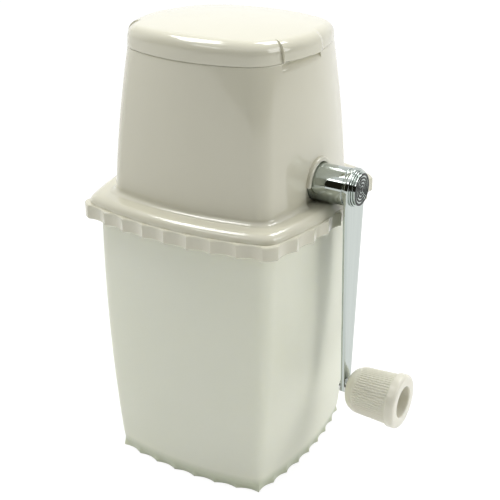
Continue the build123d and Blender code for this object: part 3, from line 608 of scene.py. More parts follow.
@dataclass(frozen=True)
class Metal:
    """Plated, ground or drawn metal.

    Attributes:
        name: Name of the material.
        colour: Its usual colour, linear.
        drift: The colour along its streaks.
        rough: Lowest and highest roughness.
        bump: Strength of the scratches.
        scale: Scale of the scratches.
        stretch: How the scratches are drawn out along X, Y and Z.
        face: A part of another colour, or None.
    """

    name: str
    colour: tuple[float, float, float]
    drift: tuple[float, float, float]
    rough: tuple[float, float] = (0.05, 0.09)
    bump: float = 0.01
    scale: float = 900.0
    stretch: tuple[float, float, float] = (1.0, 1.0, 0.03)
    face: Band | None = None

    def make(self) -> bpy.types.Material:
        """Return the material."""
        material, shader = empty_material(self.name)
        tree = material.node_tree
        worked = tree.nodes.new("ShaderNodeGroup")
        worked.node_tree = NodeGroups.brushing()
        worked.inputs["Scale"].default_value = self.scale
        for axis, value in zip("XYZ", self.stretch):
            worked.inputs[f"Stretch {axis}"].default_value = value
        colour = mixed_colour(tree, worked.outputs["Streak"], self.colour, self.drift)
        tree.links.new(self.face.over(tree, colour) if self.face else colour, shader.inputs["Base Color"])
        tree.links.new(ranged(tree, worked.outputs["Streak"], *self.rough), shader.inputs["Roughness"])
        bump = tree.nodes.new("ShaderNodeBump")
        bump.inputs["Strength"].default_value = self.bump
        bump.inputs["Distance"].default_value = 0.0001
        tree.links.new(worked.outputs["Height"], bump.inputs["Height"])
        tree.links.new(bump.outputs["Normal"], shader.inputs["Normal"])
        shader.inputs["Metallic"].default_value = 1.0
        return material


FINISHES: dict[Slot, Plastic | Metal] = {
    Slot.FROSTED: Plastic(
        "frosted_plastic",
        (0.86, 0.875, 0.69),
        (0.885, 0.895, 0.72),
        rough=(0.34, 0.42),
        bump=0.1,
        distance=0.0003,
        wave=60.0,
        grain=(2600.0, 0.5),
        scatter=0.45,
        reach=0.008,
        pass_light=0.04,
        # painted shade: the container darkens below 9.5 mm, where the wall overhangs the fluted foot
        foot=Band("Z", 0.0095, 0.0045, (0.62, 0.655, 0.49)),
    ),
    Slot.WHITE: Plastic(
        "white_plastic",
        (0.63, 0.61, 0.49),
        (0.645, 0.625, 0.505),
        rough=(0.1, 0.14),
        coat=0.3,
        bump=0.05,
        distance=0.0003,
        wave=28.0,
        grain=(1500.0, 0.12),
        scatter=0.12,
        reach=0.003,
    ),
    Slot.KNOB: Plastic(
        "knob_plastic",
        (0.79, 0.77, 0.655),
        (0.81, 0.785, 0.675),
        rough=(0.2, 0.28),
        bump=0.06,
        wave=90.0,
        grain=(2200.0, 0.2),
        scatter=0.15,
        reach=0.003,
    ),
    Slot.BUSH: Plastic("bush_plastic", (0.62, 0.6, 0.5), (0.66, 0.64, 0.55), rough=(0.45, 0.55), bump=0.1),
    Slot.CHROME: Metal(
        "crank_chrome",
        (0.5, 0.545, 0.515),
        (0.47, 0.515, 0.49),
        rough=(0.04, 0.07),
        bump=0.006,
        face=Band("X", 0.07675, 0.07685, (0.025, 0.027, 0.025)),
    ),
    Slot.FRAME: Metal(
        "frame_steel",
        (0.56, 0.56, 0.54),
        (0.48, 0.48, 0.47),
        rough=(0.25, 0.42),
        bump=0.1,
        stretch=(1.0, 0.04, 1.0),
    ),
    Slot.CUTTER: Metal(
        "cutter_steel",
        (0.62, 0.63, 0.62),
        (0.52, 0.53, 0.53),
        rough=(0.18, 0.34),
        bump=0.08,
        stretch=(0.2, 1.0, 1.0),
    ),
    Slot.FASTENER: Metal(
        "fastener_steel",
        (0.66, 0.66, 0.64),
        (0.58, 0.58, 0.57),
        rough=(0.14, 0.26),
        bump=0.05,
        stretch=(1.0, 1.0, 0.3),
    ),
}


class Paintbox:
    """Keeps one made material for each slot."""

    def __init__(self) -> None:
        """Make every finish once."""
        self.made = {slot: finish.make() for slot, finish in FINISHES.items()}

    def dress(self, piece: bpy.types.Object, slot: Slot) -> None:
        """Give a piece its slot's material."""
        piece.data.materials.clear()
        piece.data.materials.append(self.made[slot])


# ---------------------------------------------------------------- container
@dataclass
class Container:
    """The frosted cup that catches the ice, on its fluted foot."""

    foot: Outline = Outline(51.4, 54.0, 5.8, 0.4)
    foot_height: float = 7.0
    foot_wall: float = 3.4
    flutes: tuple[int, int] = (7, 8)
    flute_depth: float = 1.5
    base: Outline = Outline(51.9, 54.5, 5.8, 7.0)
    belly: Outline = Outline(57.7, 58.7, 7.1, 9.0)
    belly_z: float = 80.0
    mouth: Outline = Outline(59.5, 60.5, 8.4, 12.0)
    mouth_z: float = 156.0
    wall: float = 2.2
    floor: float = 3.0
    edge: float = 0.5
    tuck: float = 1.3
    tuck_height: float = 5.0
    underside_rim: float = 4.0
    tuck_rings: tuple[float, float] = (7.5, 12.0)

    def level(self, z: float) -> Outline:
        """Return the wall's outer outline at a height."""
        levels = ((self.foot_height, self.base), (self.belly_z, self.belly), (self.mouth_z, self.mouth))
        return level_between(levels, z)

    def skin(self) -> bpy.types.Object:
        """Return the container: rings stacked up the outside, over the rim and down the inside.

        The fluted foot's points set the angles, and every other ring is its outline's reach at
        those angles. The flutes fade out up the foot, where the wall tucks in towards it.
        """
        loop = fluted_loop(self.foot, self.flutes, self.flute_depth, 0.0, 0.0)
        turn = np.unwrap(np.arctan2(loop[:, 1], loop[:, 0]))
        fluted = np.hypot(*loop.T)
        rows = [level_ring(turn, 0.0, 0.0), level_ring(turn, fluted - self.underside_rim, 0.0)]
        rows += [level_ring(turn, fluted - self.edge, 0.0), level_ring(turn, fluted, self.edge)]
        up_foot = np.linspace(self.edge, self.foot_height, 9)[1:]
        for height in np.concatenate([up_foot, np.linspace(*self.tuck_rings, 10)]):
            low = 1 - (height - self.edge) / (self.foot_height + self.tuck_height - self.edge)
            wall = self.level(max(height, self.foot_height)).reach(turn) - self.tuck * low**2
            fade = np.clip(height / self.foot_height, 0, 1)
            blend = fade**2 * (3 - 2 * fade)
            rows.append(level_ring(turn, fluted + (wall - fluted) * blend, height))
        for height in np.linspace(self.tuck_rings[1], self.mouth_z - self.edge, 40)[1:]:
            rows.append(level_ring(turn, self.level(height).reach(turn), height))
        rows.append(level_ring(turn, self.mouth.inset(self.edge).reach(turn), self.mouth_z))
        rows.append(level_ring(turn, self.mouth.inset(self.wall - self.edge).reach(turn), self.mouth_z))
        for height in np.linspace(self.mouth_z - self.edge, self.foot_height, 24):
            rows.append(level_ring(turn, self.level(height).inset(self.wall).reach(turn), height))
        inner = self.base.inset(self.foot_wall)
        for drop, draw in ((3.0, 0.0), (1.0, 0.5), (0.3, 1.3), (0.0, 2.6)):
            rows.append(level_ring(turn, inner.inset(draw).reach(turn), self.floor + drop))
        rows.append(level_ring(turn, 0.0, self.floor))
        return Skin("container_shell").grid(np.stack(rows)).build()

    def assemble(self, paint: Paintbox) -> None:
        """Build, dress and place the container."""
        shell = self.skin()
        paint.dress(shell, Slot.FROSTED)
        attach(shell, "container")
        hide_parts("container")
        LOG.info("container: %d faces", len(shell.data.polygons))


# ---------------------------------------------------------------- collar
@dataclass
class Collar:
    """The fluted ring that stands on the container's rim and carries the housing."""

    skirt: Outline = Outline(66.0, 67.0, 8.5, 0.4)
    skirt_bottom: float = 146.8
    ledge: float = 154.4
    flutes: tuple[int, int] = (8, 8)
    flute_depth: float = 1.7
    tooth: float = 4.4
    bulge: float = 0.7
    shoulder: Outline = Outline(63.7, 64.7, 8.5, 9.0)
    roll: float = 4.2
    top: float = 159.0
    plate: float = 3.0
    hollow: Outline = Outline(60.0, 61.0, 8.4, 12.5)
    outlet: tuple[float, float, float] = (36.5, 26.0, 4.0)
    edge: float = 0.5
    tab_face: float = 50.9
    tab_thickness: float = 2.4
    tab_half_width: float = 12.6
    spring_z: float = 169.3
    arch_radius: float = 10.3
    boss_radius: float = 4.4
    boss_places: tuple[tuple[float, float], ...] = ((44.0, 18.0), (44.0, -18.0), (-44.0, 18.0), (-44.0, -18.0))
    boss_depth: float = 8.0

    def ring(self) -> Skin:
        """Return the fluted ring and its plate, with the outlet through it.

        Rings run from the skirt's inner foot outwards over the flutes, up the rolled shoulder,
        across the plate to the outlet and back underneath it. The roll is a quarter circle.
        """
        loop = fluted_loop(self.skirt, self.flutes, self.flute_depth, self.tooth, self.bulge)
        turn = np.unwrap(np.arctan2(loop[:, 1], loop[:, 0]))
        fluted = np.hypot(*loop.T)
        hollow = self.hollow.reach(turn)
        hole = polar_reach(round_box_loop(*self.outlet), turn)
        rows = [
            level_ring(turn, hollow, self.skirt_bottom + self.edge),
            level_ring(turn, hollow + self.edge, self.skirt_bottom),
            level_ring(turn, fluted - self.edge, self.skirt_bottom),
            level_ring(turn, fluted, self.skirt_bottom + self.edge),
            level_ring(turn, fluted, self.ledge - self.edge),
            level_ring(turn, fluted - self.edge, self.ledge),
            level_ring(turn, self.shoulder.reach(turn), self.ledge),
        ]
        for lean in np.linspace(0, math.pi / 2, 10):
            level = self.shoulder.inset(self.roll * (1 - math.cos(lean)))
            rows.append(level_ring(turn, level.reach(turn), self.top - self.roll * (1 - math.sin(lean))))
        inner = self.shoulder.inset(self.roll).reach(turn)
        for share in (0.2, 0.5, 0.9):
            rows.append(level_ring(turn, inner + (hole - inner) * share, self.top))
        rows.append(level_ring(turn, hole, self.top))
        rows.append(level_ring(turn, hole, self.top - self.plate))
        for share in (0.3, 0.9):
            rows.append(level_ring(turn, hole + (hollow - 1 - hole) * share, self.top - self.plate))
        rows.append(level_ring(turn, hollow, self.top - self.plate))
        rows.append(rows[0])
        return Skin("collar_ring").grid(np.stack(rows))

    def tab(self, skin: Skin) -> Skin:
        """Add the tab that closes the housing's slot under the barrel.

        Its top edge is the arch circle, so the height at each y is the spring line less the
        circle's drop there, and the full height where the circle doesn't reach.
        """
        y = np.concatenate(
            [
                np.linspace(-self.tab_half_width, -self.arch_radius, 4),
                self.arch_radius * np.sin(np.linspace(-math.pi / 2, math.pi / 2, 41))[1:-1],
                np.linspace(self.arch_radius, self.tab_half_width, 4),
            ]
        )
        dip = np.sqrt(np.maximum(self.arch_radius**2 - y**2, 0.0))
        high = self.spring_z - dip
        low = np.full_like(y, self.top - 0.4)
        front, back = self.tab_face, self.tab_face - self.tab_thickness
        rows = [(front, low), (front, high - 0.2), (front - 0.2, high), (back, high), (back, low), (front, low)]
        grid = np.stack([np.stack([np.full_like(y, x), y, z], axis=1) for x, z in rows])
        skin.grid(grid, closed=False)
        for end in (0, -1):
            column = grid[:5, end]
            cap = np.stack([column[[0, 1, 2]], column[[4, 3, 3]]])
            skin.grid(cap, closed=False)
        return skin

    def bosses(self, skin: Skin) -> Skin:
        """Add the four screw bosses that hang under the plate, as upright turned forms."""
        turn = np.linspace(0, 2 * math.pi, 40, endpoint=False)
        bottom = self.top - self.plate - self.boss_depth
        for x, y in self.boss_places:
            shape = [(0.0, bottom), (self.boss_radius - 0.4, bottom), (self.boss_radius, bottom + 0.4)]
            shape.append((self.boss_radius, self.top - self.plate + 0.4))
            rows = [level_ring(turn, radius, height) + [x, y, 0] for radius, height in shape]
            skin.grid(np.stack(rows))
        return skin

    def assemble(self, paint: Paintbox) -> None:
        """Build, dress and place the collar."""
        piece = self.bosses(self.tab(self.ring())).build()
        paint.dress(piece, Slot.WHITE)
        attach(piece, "upper")
        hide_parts("collar")
        LOG.info("collar: %d faces", len(piece.data.polygons))


# ---------------------------------------------------------------- housing
@dataclass(frozen=True)
class Grips:
    """Place of the finger grips along the +X and -X sides.

    Attributes:
        front: Their front end, a sharp step.
        rear: Their rear end, which fades out.
        fade: Length over which the rear fades.
    """

    front: float = -27.0
    rear: float = 5.0
    fade: float = 2.6

    def shares(self, outline: Outline, middle: int) -> np.ndarray:
        """Return rising shares along a side, doubled where the grips step.

        Args:
            outline: The outline whose sides carry the grips.
            middle: Number of even shares.
        """
        ends = [outline.side_share(y) for y in (self.front, self.rear)]
        fade_ends = [outline.side_share(self.rear + step) for step in (-self.fade, self.fade)]
        soft = np.linspace(*fade_ends, 9)
        return np.sort(np.concatenate([np.linspace(-1, 1, middle), ends, ends, soft]))

    def inside(self, shares: np.ndarray, outline: Outline) -> np.ndarray:
        """Return 1 between the two steps and 0 beyond, with each doubled share split."""
        front, rear = (outline.side_share(y) for y in (self.front, self.rear))
        within = (shares > front + 1e-9) & (shares < rear - 1e-9)
        within[np.flatnonzero(np.isclose(shares, front))[-1]] = True
        within[np.flatnonzero(np.isclose(shares, rear))[0]] = True
        return within.astype(float)


@dataclass
class Housing:
    """The hopper casing: bowed walls that narrow upwards, with an arched slot for the barrel."""

    foot: Outline = Outline(52.4, 52.4, 6.3, 11.0)
    waist: Outline = Outline(51.0, 51.0, 7.6, 14.0)
    brow: Outline = Outline(48.6, 48.6, 9.4, 19.0)
    foot_z: float = 159.0
    waist_z: float = 200.0
    seam_z: float = 236.3
    wall: float = 2.8
    cove: float = 2.8
    edge: float = 0.55
    spring_z: float = 169.3
    arch_radius: float = 10.3
    lip_radius: float = 12.9
    lip_face: float = 53.7
    lip_round: float = 1.0
    window_top: float = 186.5
    window_share: float = 0.4
    notch_height: float = 3.6
    notch_depth: float = 2.0
    boss_centre: float = 40.6
    boss_radius: float = 4.4
    boss_height: float = 13.0
    grips: Grips = Grips()

    def level(self, z: float) -> Outline:
        """Return the outer outline at a height, on a smooth curve through the three levels."""
        levels = ((self.foot_z, self.foot), (self.waist_z, self.waist), (self.seam_z, self.brow))
        return level_between(levels, z)

    def flare(self, z: float) -> float:
        """Return how far the foot flares out: a hollow quarter circle of the cove's height."""
        rise = min((z - self.foot_z) / self.cove, 1.0)
        return self.cove * (1 - math.sqrt(max(1 - (1 - rise) ** 2, 0.0)))

    def heights(self) -> np.ndarray:
        """Return the heights of the outer rows up to the notches."""
        low = self.foot_z + self.cove * (1 - np.cos(np.linspace(0, math.pi / 2, 9)))
        notch_z = self.seam_z - self.notch_height
        parts = [
            low,
            np.linspace(low[-1], self.spring_z, 8)[1:],
            np.linspace(self.spring_z, self.window_top, 16)[1:],
            np.linspace(self.window_top, notch_z, 34)[1:],
        ]
        return np.concatenate(parts)

    def steps(self) -> Steps:
        """Return the ring's steps, with the window's and the notches' columns among them."""
        east = self.grips.shares(self.brow, 97)
        window = [-self.window_share, self.window_share]
        return Steps(np.sort(np.concatenate([east, window])), np.linspace(-1, 1, 73), 22)

    def wall_x(self, y: np.ndarray, z: np.ndarray, draw: float) -> np.ndarray:
        """Return the +X wall's x at points of its face, drawn in by draw."""
        flat_y, flat_z = np.broadcast_arrays(y, z)
        found = [
            self.level(v).inset(draw - (self.flare(v) if draw == 0 else 0.0)).side_x(u)
            for u, v in zip(flat_y.ravel(), flat_z.ravel())
        ]
        return np.array(found).reshape(flat_y.shape)

    def patch(self, skin: Skin, border: np.ndarray, edge: np.ndarray, draw: float) -> np.ndarray:
        """Fill the wall between the window's border and the slot's edge.

        Points run straight from the edge to the border in y and z, and x is the wall's own.

        Args:
            skin: The skin to add to.
            border: Points of the grid round the window.
            edge: The y and z of the slot's edge for each border point.
            draw: Depth of this surface in the wall.

        Returns:
            The points along the slot's edge.
        """
        share = np.array([0.0, 0.12, 0.3, 0.55, 0.8])[:, None, None]
        flat = edge[None] + (border[None, :, 1:] - edge[None]) * share
        x = self.wall_x(flat[..., 0], flat[..., 1], draw)
        rows = np.concatenate([np.concatenate([x[..., None], flat], axis=-1), border[None]])
        skin.grid(rows, closed=False)
        return rows

    def slot_edge(self, border: np.ndarray, radius: float) -> np.ndarray:
        """Return the slot's edge for each border point: straight legs under a half circle."""
        y, rise = border[:, 1], border[:, 2] - self.spring_z
        turn = np.arctan2(np.maximum(rise, 0.0), y)
        legs = np.stack([np.sign(y) * self.lip_radius, border[:, 2]], axis=1)
        arch = np.stack([radius * np.cos(turn), self.spring_z + radius * np.sin(turn)], axis=1)
        return np.where((rise < -1e-6)[:, None], legs, arch)

    def shell(self) -> Skin:
        """Return the casing as one shell.

        Rows run up the outside, over the top edge and down the inside. The notches under the
        finger grips slope inwards towards the seam. The window's quads are left out and filled
        by patches round the slot.
        """
        steps = self.steps()
        notch = np.zeros(len(self.brow.ring(steps)[0]))
        within = self.grips.inside(steps.east, self.brow)
        side = len(steps.east)
        notch[:side] = within
        west = 2 * steps.corner + len(steps.north) + side
        notch[west : west + side] = within[::-1]
        heights = self.heights()
        rows = []

        def add(z: float, draw: float, hollow: float = 0.0) -> None:
            points, away = self.level(min(z, self.seam_z)).inset(draw).ring(steps)
            points = points - away * (hollow * notch)[:, None]
            rows.append(np.column_stack([points, np.full(len(points), z)]))

        for z in heights:
            add(z, -self.flare(z))
        for share in np.linspace(0, 1, 8)[1:-1]:
            add(heights[-1] + (self.notch_height - self.edge) * share, 0.0, self.notch_depth * share**1.3)
        for lean in np.linspace(0, math.pi / 2, 5):
            drop = self.edge * (1 - math.sin(lean))
            add(self.seam_z - drop, self.edge * (1 - math.cos(lean)), self.notch_depth - 0.3)
        add(self.seam_z, self.wall - 0.3)
        for z in np.concatenate([[self.seam_z - 0.3], heights[::-1]]):
            add(z, self.wall)
        grid = np.stack(rows)
        keep = np.ones((len(rows) - 1, grid.shape[1]), dtype=bool)
        low = np.flatnonzero(np.isclose(steps.east, -self.window_share))[0]
        high = np.flatnonzero(np.isclose(steps.east, self.window_share))[0]
        top = int(np.argmin(np.abs(heights - self.window_top)))
        keep[:top, low:high] = False
        keep[len(rows) - 1 - top :, low:high] = False
        skin = Skin("housing_shell").grid(grid, keep=keep)
        outer = np.concatenate([grid[:top, high], grid[top, low : high + 1][::-1], grid[:top, low][::-1]])
        last = len(rows) - 1
        inner = np.concatenate(
            [
                grid[last : last - top : -1, high],
                grid[last - top, low : high + 1][::-1],
                grid[last - top + 1 :, low],
            ]
        )
        rim = self.slot_edge(outer, self.lip_radius)
        arch = self.slot_edge(outer, self.arch_radius)
        outside = self.patch(skin, outer, rim, 0.0)
        inside = self.patch(skin, inner, arch, self.wall)
        self.lip(skin, outside[0], inside[0])
        around = np.stack([grid[0], grid[-1]])
        sides = np.ones((1, grid.shape[1]), dtype=bool)
        sides[0, low:high] = False
        skin.grid(around, keep=sides)
        for end in (0, -1):
            skin.grid(np.stack([outside[:, end], inside[:, end]]), closed=False)
        return skin

    def lip(self, skin: Skin, outer: np.ndarray, inner: np.ndarray) -> None:
        """Add the raised lip round the arch and the slot's straight sides.

        The lip's section runs from the wall's face out to the lip's face, across it with round
        edges, and back through the opening. It is carried round the half circle.

        Args:
            skin: The skin to add to.
            outer: Points of the slot's edge on the outer face.
            inner: Points of the slot's edge on the inner face.
        """
        rise = outer[:, 2] - self.spring_z
        over = np.flatnonzero(rise > -1e-6)
        turn = np.arctan2(rise[over], outer[over, 1])
        wall = outer[over, 0]
        section = rounded_profile(
            [
                (0.0, self.lip_radius, 0.0),
                (1.0 + self.lip_round, self.lip_radius, self.lip_round),
                (1.0 + self.lip_round, self.arch_radius, self.lip_round),
                (0.0, self.arch_radius, 0.0),
            ]
        )[1:-1]
        depth = self.lip_face - (1.0 + self.lip_round - section[:, 0])
        rows = [outer[over]]
        for x, radius in zip(depth, section[:, 1]):
            arc = [np.full_like(turn, x), radius * np.cos(turn), self.spring_z + radius * np.sin(turn)]
            rows.append(np.stack(arc, axis=1))
            rows[-1][:, 0] = np.maximum(rows[-1][:, 0], wall + 0.05 if radius > self.arch_radius + 1.2 else x)
        rows.append(inner[over])
        grid = np.stack(rows)
        skin.grid(grid, closed=False)
        for end in (0, -1):
            edge = grid[:, end]
            back = edge.copy()
            back[:, 0] = edge[-1, 0]
            skin.grid(np.stack([edge, back]), closed=False)
        for side in (1, -1):
            leg = np.flatnonzero((rise < 1e-6) & (outer[:, 1] * side > 0))
            far = inner[leg].copy()
            far[:, 1] = outer[leg, 1]
            skin.grid(np.stack([outer[leg], far]), closed=False)

    def bosses(self, skin: Skin) -> None:
        """Add the four screw bosses inside, each an upright turned form held within the wall."""
        turn = np.linspace(0, 2 * math.pi, 32, endpoint=False)
        limit = self.level(self.foot_z + self.boss_height).inset(self.wall / 2)
        shape = [(self.boss_radius, self.foot_z + 0.2), (self.boss_radius, self.foot_z + self.boss_height)]
        shape += [(1.6, self.foot_z + self.boss_height), (1.6, self.foot_z + 0.2), shape[0]]
        for x in (self.boss_centre, -self.boss_centre):
            for y in (self.boss_centre, -self.boss_centre):
                rows = np.stack([level_ring(turn, radius, z) + [x, y, 0] for radius, z in shape])
                reach = np.hypot(rows[..., 0], rows[..., 1])
                most = limit.reach(np.arctan2(rows[..., 1], rows[..., 0]).ravel()).reshape(reach.shape)
                rows[..., :2] *= np.minimum(1.0, most / reach)[..., None]
                skin.grid(rows)

    def assemble(self, paint: Paintbox) -> None:
        """Build, dress and place the housing."""
        skin = self.shell()
        self.bosses(skin)
        piece = skin.build(crisp=32.0)
        paint.dress(piece, Slot.WHITE)
        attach(piece, "upper")
        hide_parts("housing")
        LOG.info("housing: %d faces", len(piece.data.polygons))


# ---------------------------------------------------------------- lid
@dataclass
class Lid:
    """The crowned lid, with a finger grip that stands proud of each side."""

    outline: Outline = Outline(48.9, 48.9, 9.6, 19.1)
    seam_z: float = 236.3
    crown_z: float = 248.8
    crown_radius: float = 500.0
    crown_forward: float = 20.0
    draft: float = 4.0
    round: float = 6.5
    edge: float = 0.55
    top_wall: float = 2.4
    side_wall: float = 4.2
    rim_half: float = 45.5
    rim_depth: float = 4.5
    rim_wall: float = 1.6
    grip_proud: float = 1.6
    grip_lift: float = 1.1
    grips: Grips = Grips()

    def crown(self, x: np.ndarray, y: np.ndarray, drop: float = 0.0) -> np.ndarray:
        """Return the sphere's height over each place, lowered by drop."""
        away = x**2 + (y + self.crown_forward) ** 2
        return self.crown_z - drop - self.crown_radius + np.sqrt(self.crown_radius**2 - away)

    def side_and_edge(
        self, points: np.ndarray, away: np.ndarray, base: np.ndarray, round_size: float, drop: float
    ) -> list[np.ndarray]:
        """Return rows up the drafted side and round the edge onto the crown.

        The side leans in by the draft. It meets the crown where both have one height, which is
        found in a few turns. The edge is an exact arc there: it starts and ends one tangent
        length, the radius times the tangent of half the turn, from the meeting, and is the
        weighted curve whose middle weight is the cosine of half the turn.

        Args:
            points: Outline points at the seam.
            away: Outward directions.
            base: Height at which each column starts.
            round_size: Radius of the edge.
            drop: Depth below the crown's outer surface.
        """
        lean = math.tan(math.radians(self.draft))

        def at(height: np.ndarray) -> np.ndarray:
            return points - away * ((height - self.seam_z) * lean)[:, None]

        height = np.full(len(points), self.crown_z - drop)
        for _ in range(12):
            place = at(height)
            height = self.crown(place[:, 0], place[:, 1], drop)
        meet = np.column_stack([at(height), height])
        ahead = 0.5
        inward = meet[:, :2] - away * ahead
        slope = (self.crown(inward[:, 0], inward[:, 1], drop) - height) / ahead
        up = np.column_stack([-away * lean, np.ones(len(points))])
        up /= np.linalg.norm(up, axis=1)[:, None]
        over = np.column_stack([-away, slope])
        over /= np.linalg.norm(over, axis=1)[:, None]
        half_turn = np.arccos(np.clip((up * over).sum(axis=1), -1, 1)) / 2
        cut = (round_size * np.tan(half_turn))[:, None]
        start, end = meet - up * cut, meet + over * cut
        end[:, 2] = self.crown(end[:, 0], end[:, 1], drop)
        foot = np.column_stack([at(base), base])
        rows = [foot + (start - foot) * share for share in np.linspace(0, 1, 5)[:-1]]
        weight = np.cos(half_turn)[:, None]
        for t in np.linspace(0, 1, 13):
            parts = (1 - t) ** 2, 2 * t * (1 - t) * weight, t**2
            rows.append((parts[0] * start + parts[1] * meet + parts[2] * end) / sum(parts))
        return rows

    def shell(self) -> Skin:
        """Return the lid as one shell.

        Rows run from the lower edge up the side, round the edge and over the crown to its
        middle, then out again underneath, down the inner side and round the rim.
        """
        steps = Steps(self.grips.shares(self.outline, 97), np.linspace(-1, 1, 73), 24)
        points, away = self.outline.ring(steps)
        within = self.grips.inside(steps.east, self.outline)
        y_side = points[: len(steps.east), 1]
        fade = np.clip((self.grips.rear + self.grips.fade - y_side) / (2 * self.grips.fade), 0, 1)
        swell = np.where(y_side < self.grips.rear - self.grips.fade, within, fade**2 * (3 - 2 * fade))
        grip = np.zeros(len(points))
        side = len(steps.east)
        west = 2 * steps.corner + len(steps.north) + side
        grip[:side] = swell
        grip[west : west + side] = swell[::-1]
        along = np.clip((self.grips.rear - points[:, 1]) / (self.grips.rear - self.grips.front), 0, 1)
        lift = self.grip_lift * along * grip
        proud = points + away * (self.grip_proud * grip)[:, None]
        foot = self.seam_z + lift
        rows = [np.column_stack([points - away * (1.2 * self.edge), np.full(len(points), self.seam_z)])]
        rows.append(np.column_stack([proud - away * self.edge, foot]))
        rows.append(np.column_stack([proud - away * (0.3 * self.edge), foot + 0.3 * self.edge]))
        rows += self.side_and_edge(proud, away, foot + self.edge, self.round, 0.0)
        rim = rows[-1]
        for share in np.linspace(0, 1, 26)[1:]:
            place = rim[:, :2] * (1 - share)
            rows.append(np.column_stack([place, self.crown(place[:, 0], place[:, 1])]))
        inner, inner_away = self.outline.inset(self.side_wall).ring(steps)
        inner_foot = np.full(len(inner), self.seam_z)
        under = self.side_and_edge(inner, inner_away, inner_foot, self.round, self.top_wall)
        for share in np.linspace(1, 0, 8)[:-1]:
            place = under[-1][:, :2] * (1 - share)
            rows.append(np.column_stack([place, self.crown(place[:, 0], place[:, 1], self.top_wall)]))
        rows += under[::-1]
        flange = Outline(self.rim_half, self.rim_half, 9.4, 15.9)
        low = self.seam_z - self.rim_depth
        for draw, z in (
            (self.rim_wall, self.seam_z),
            (self.rim_wall, low + 0.3),
            (self.rim_wall - 0.3, low),
            (0.3, low),
            (0.0, low + 0.3),
            (0.0, self.seam_z),
        ):
            place = flange.inset(draw).ring(steps)[0]
            rows.append(np.column_stack([place, np.full(len(place), z)]))
        rows.append(rows[0])
        return Skin("lid_shell").grid(np.stack(rows))

    def assemble(self, paint: Paintbox) -> None:
        """Build, dress and place the lid."""
        piece = self.shell().build(crisp=38.0)
        paint.dress(piece, Slot.WHITE)
        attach(piece, "lid")
        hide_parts("lid")
        LOG.info("lid: %d faces", len(piece.data.polygons))


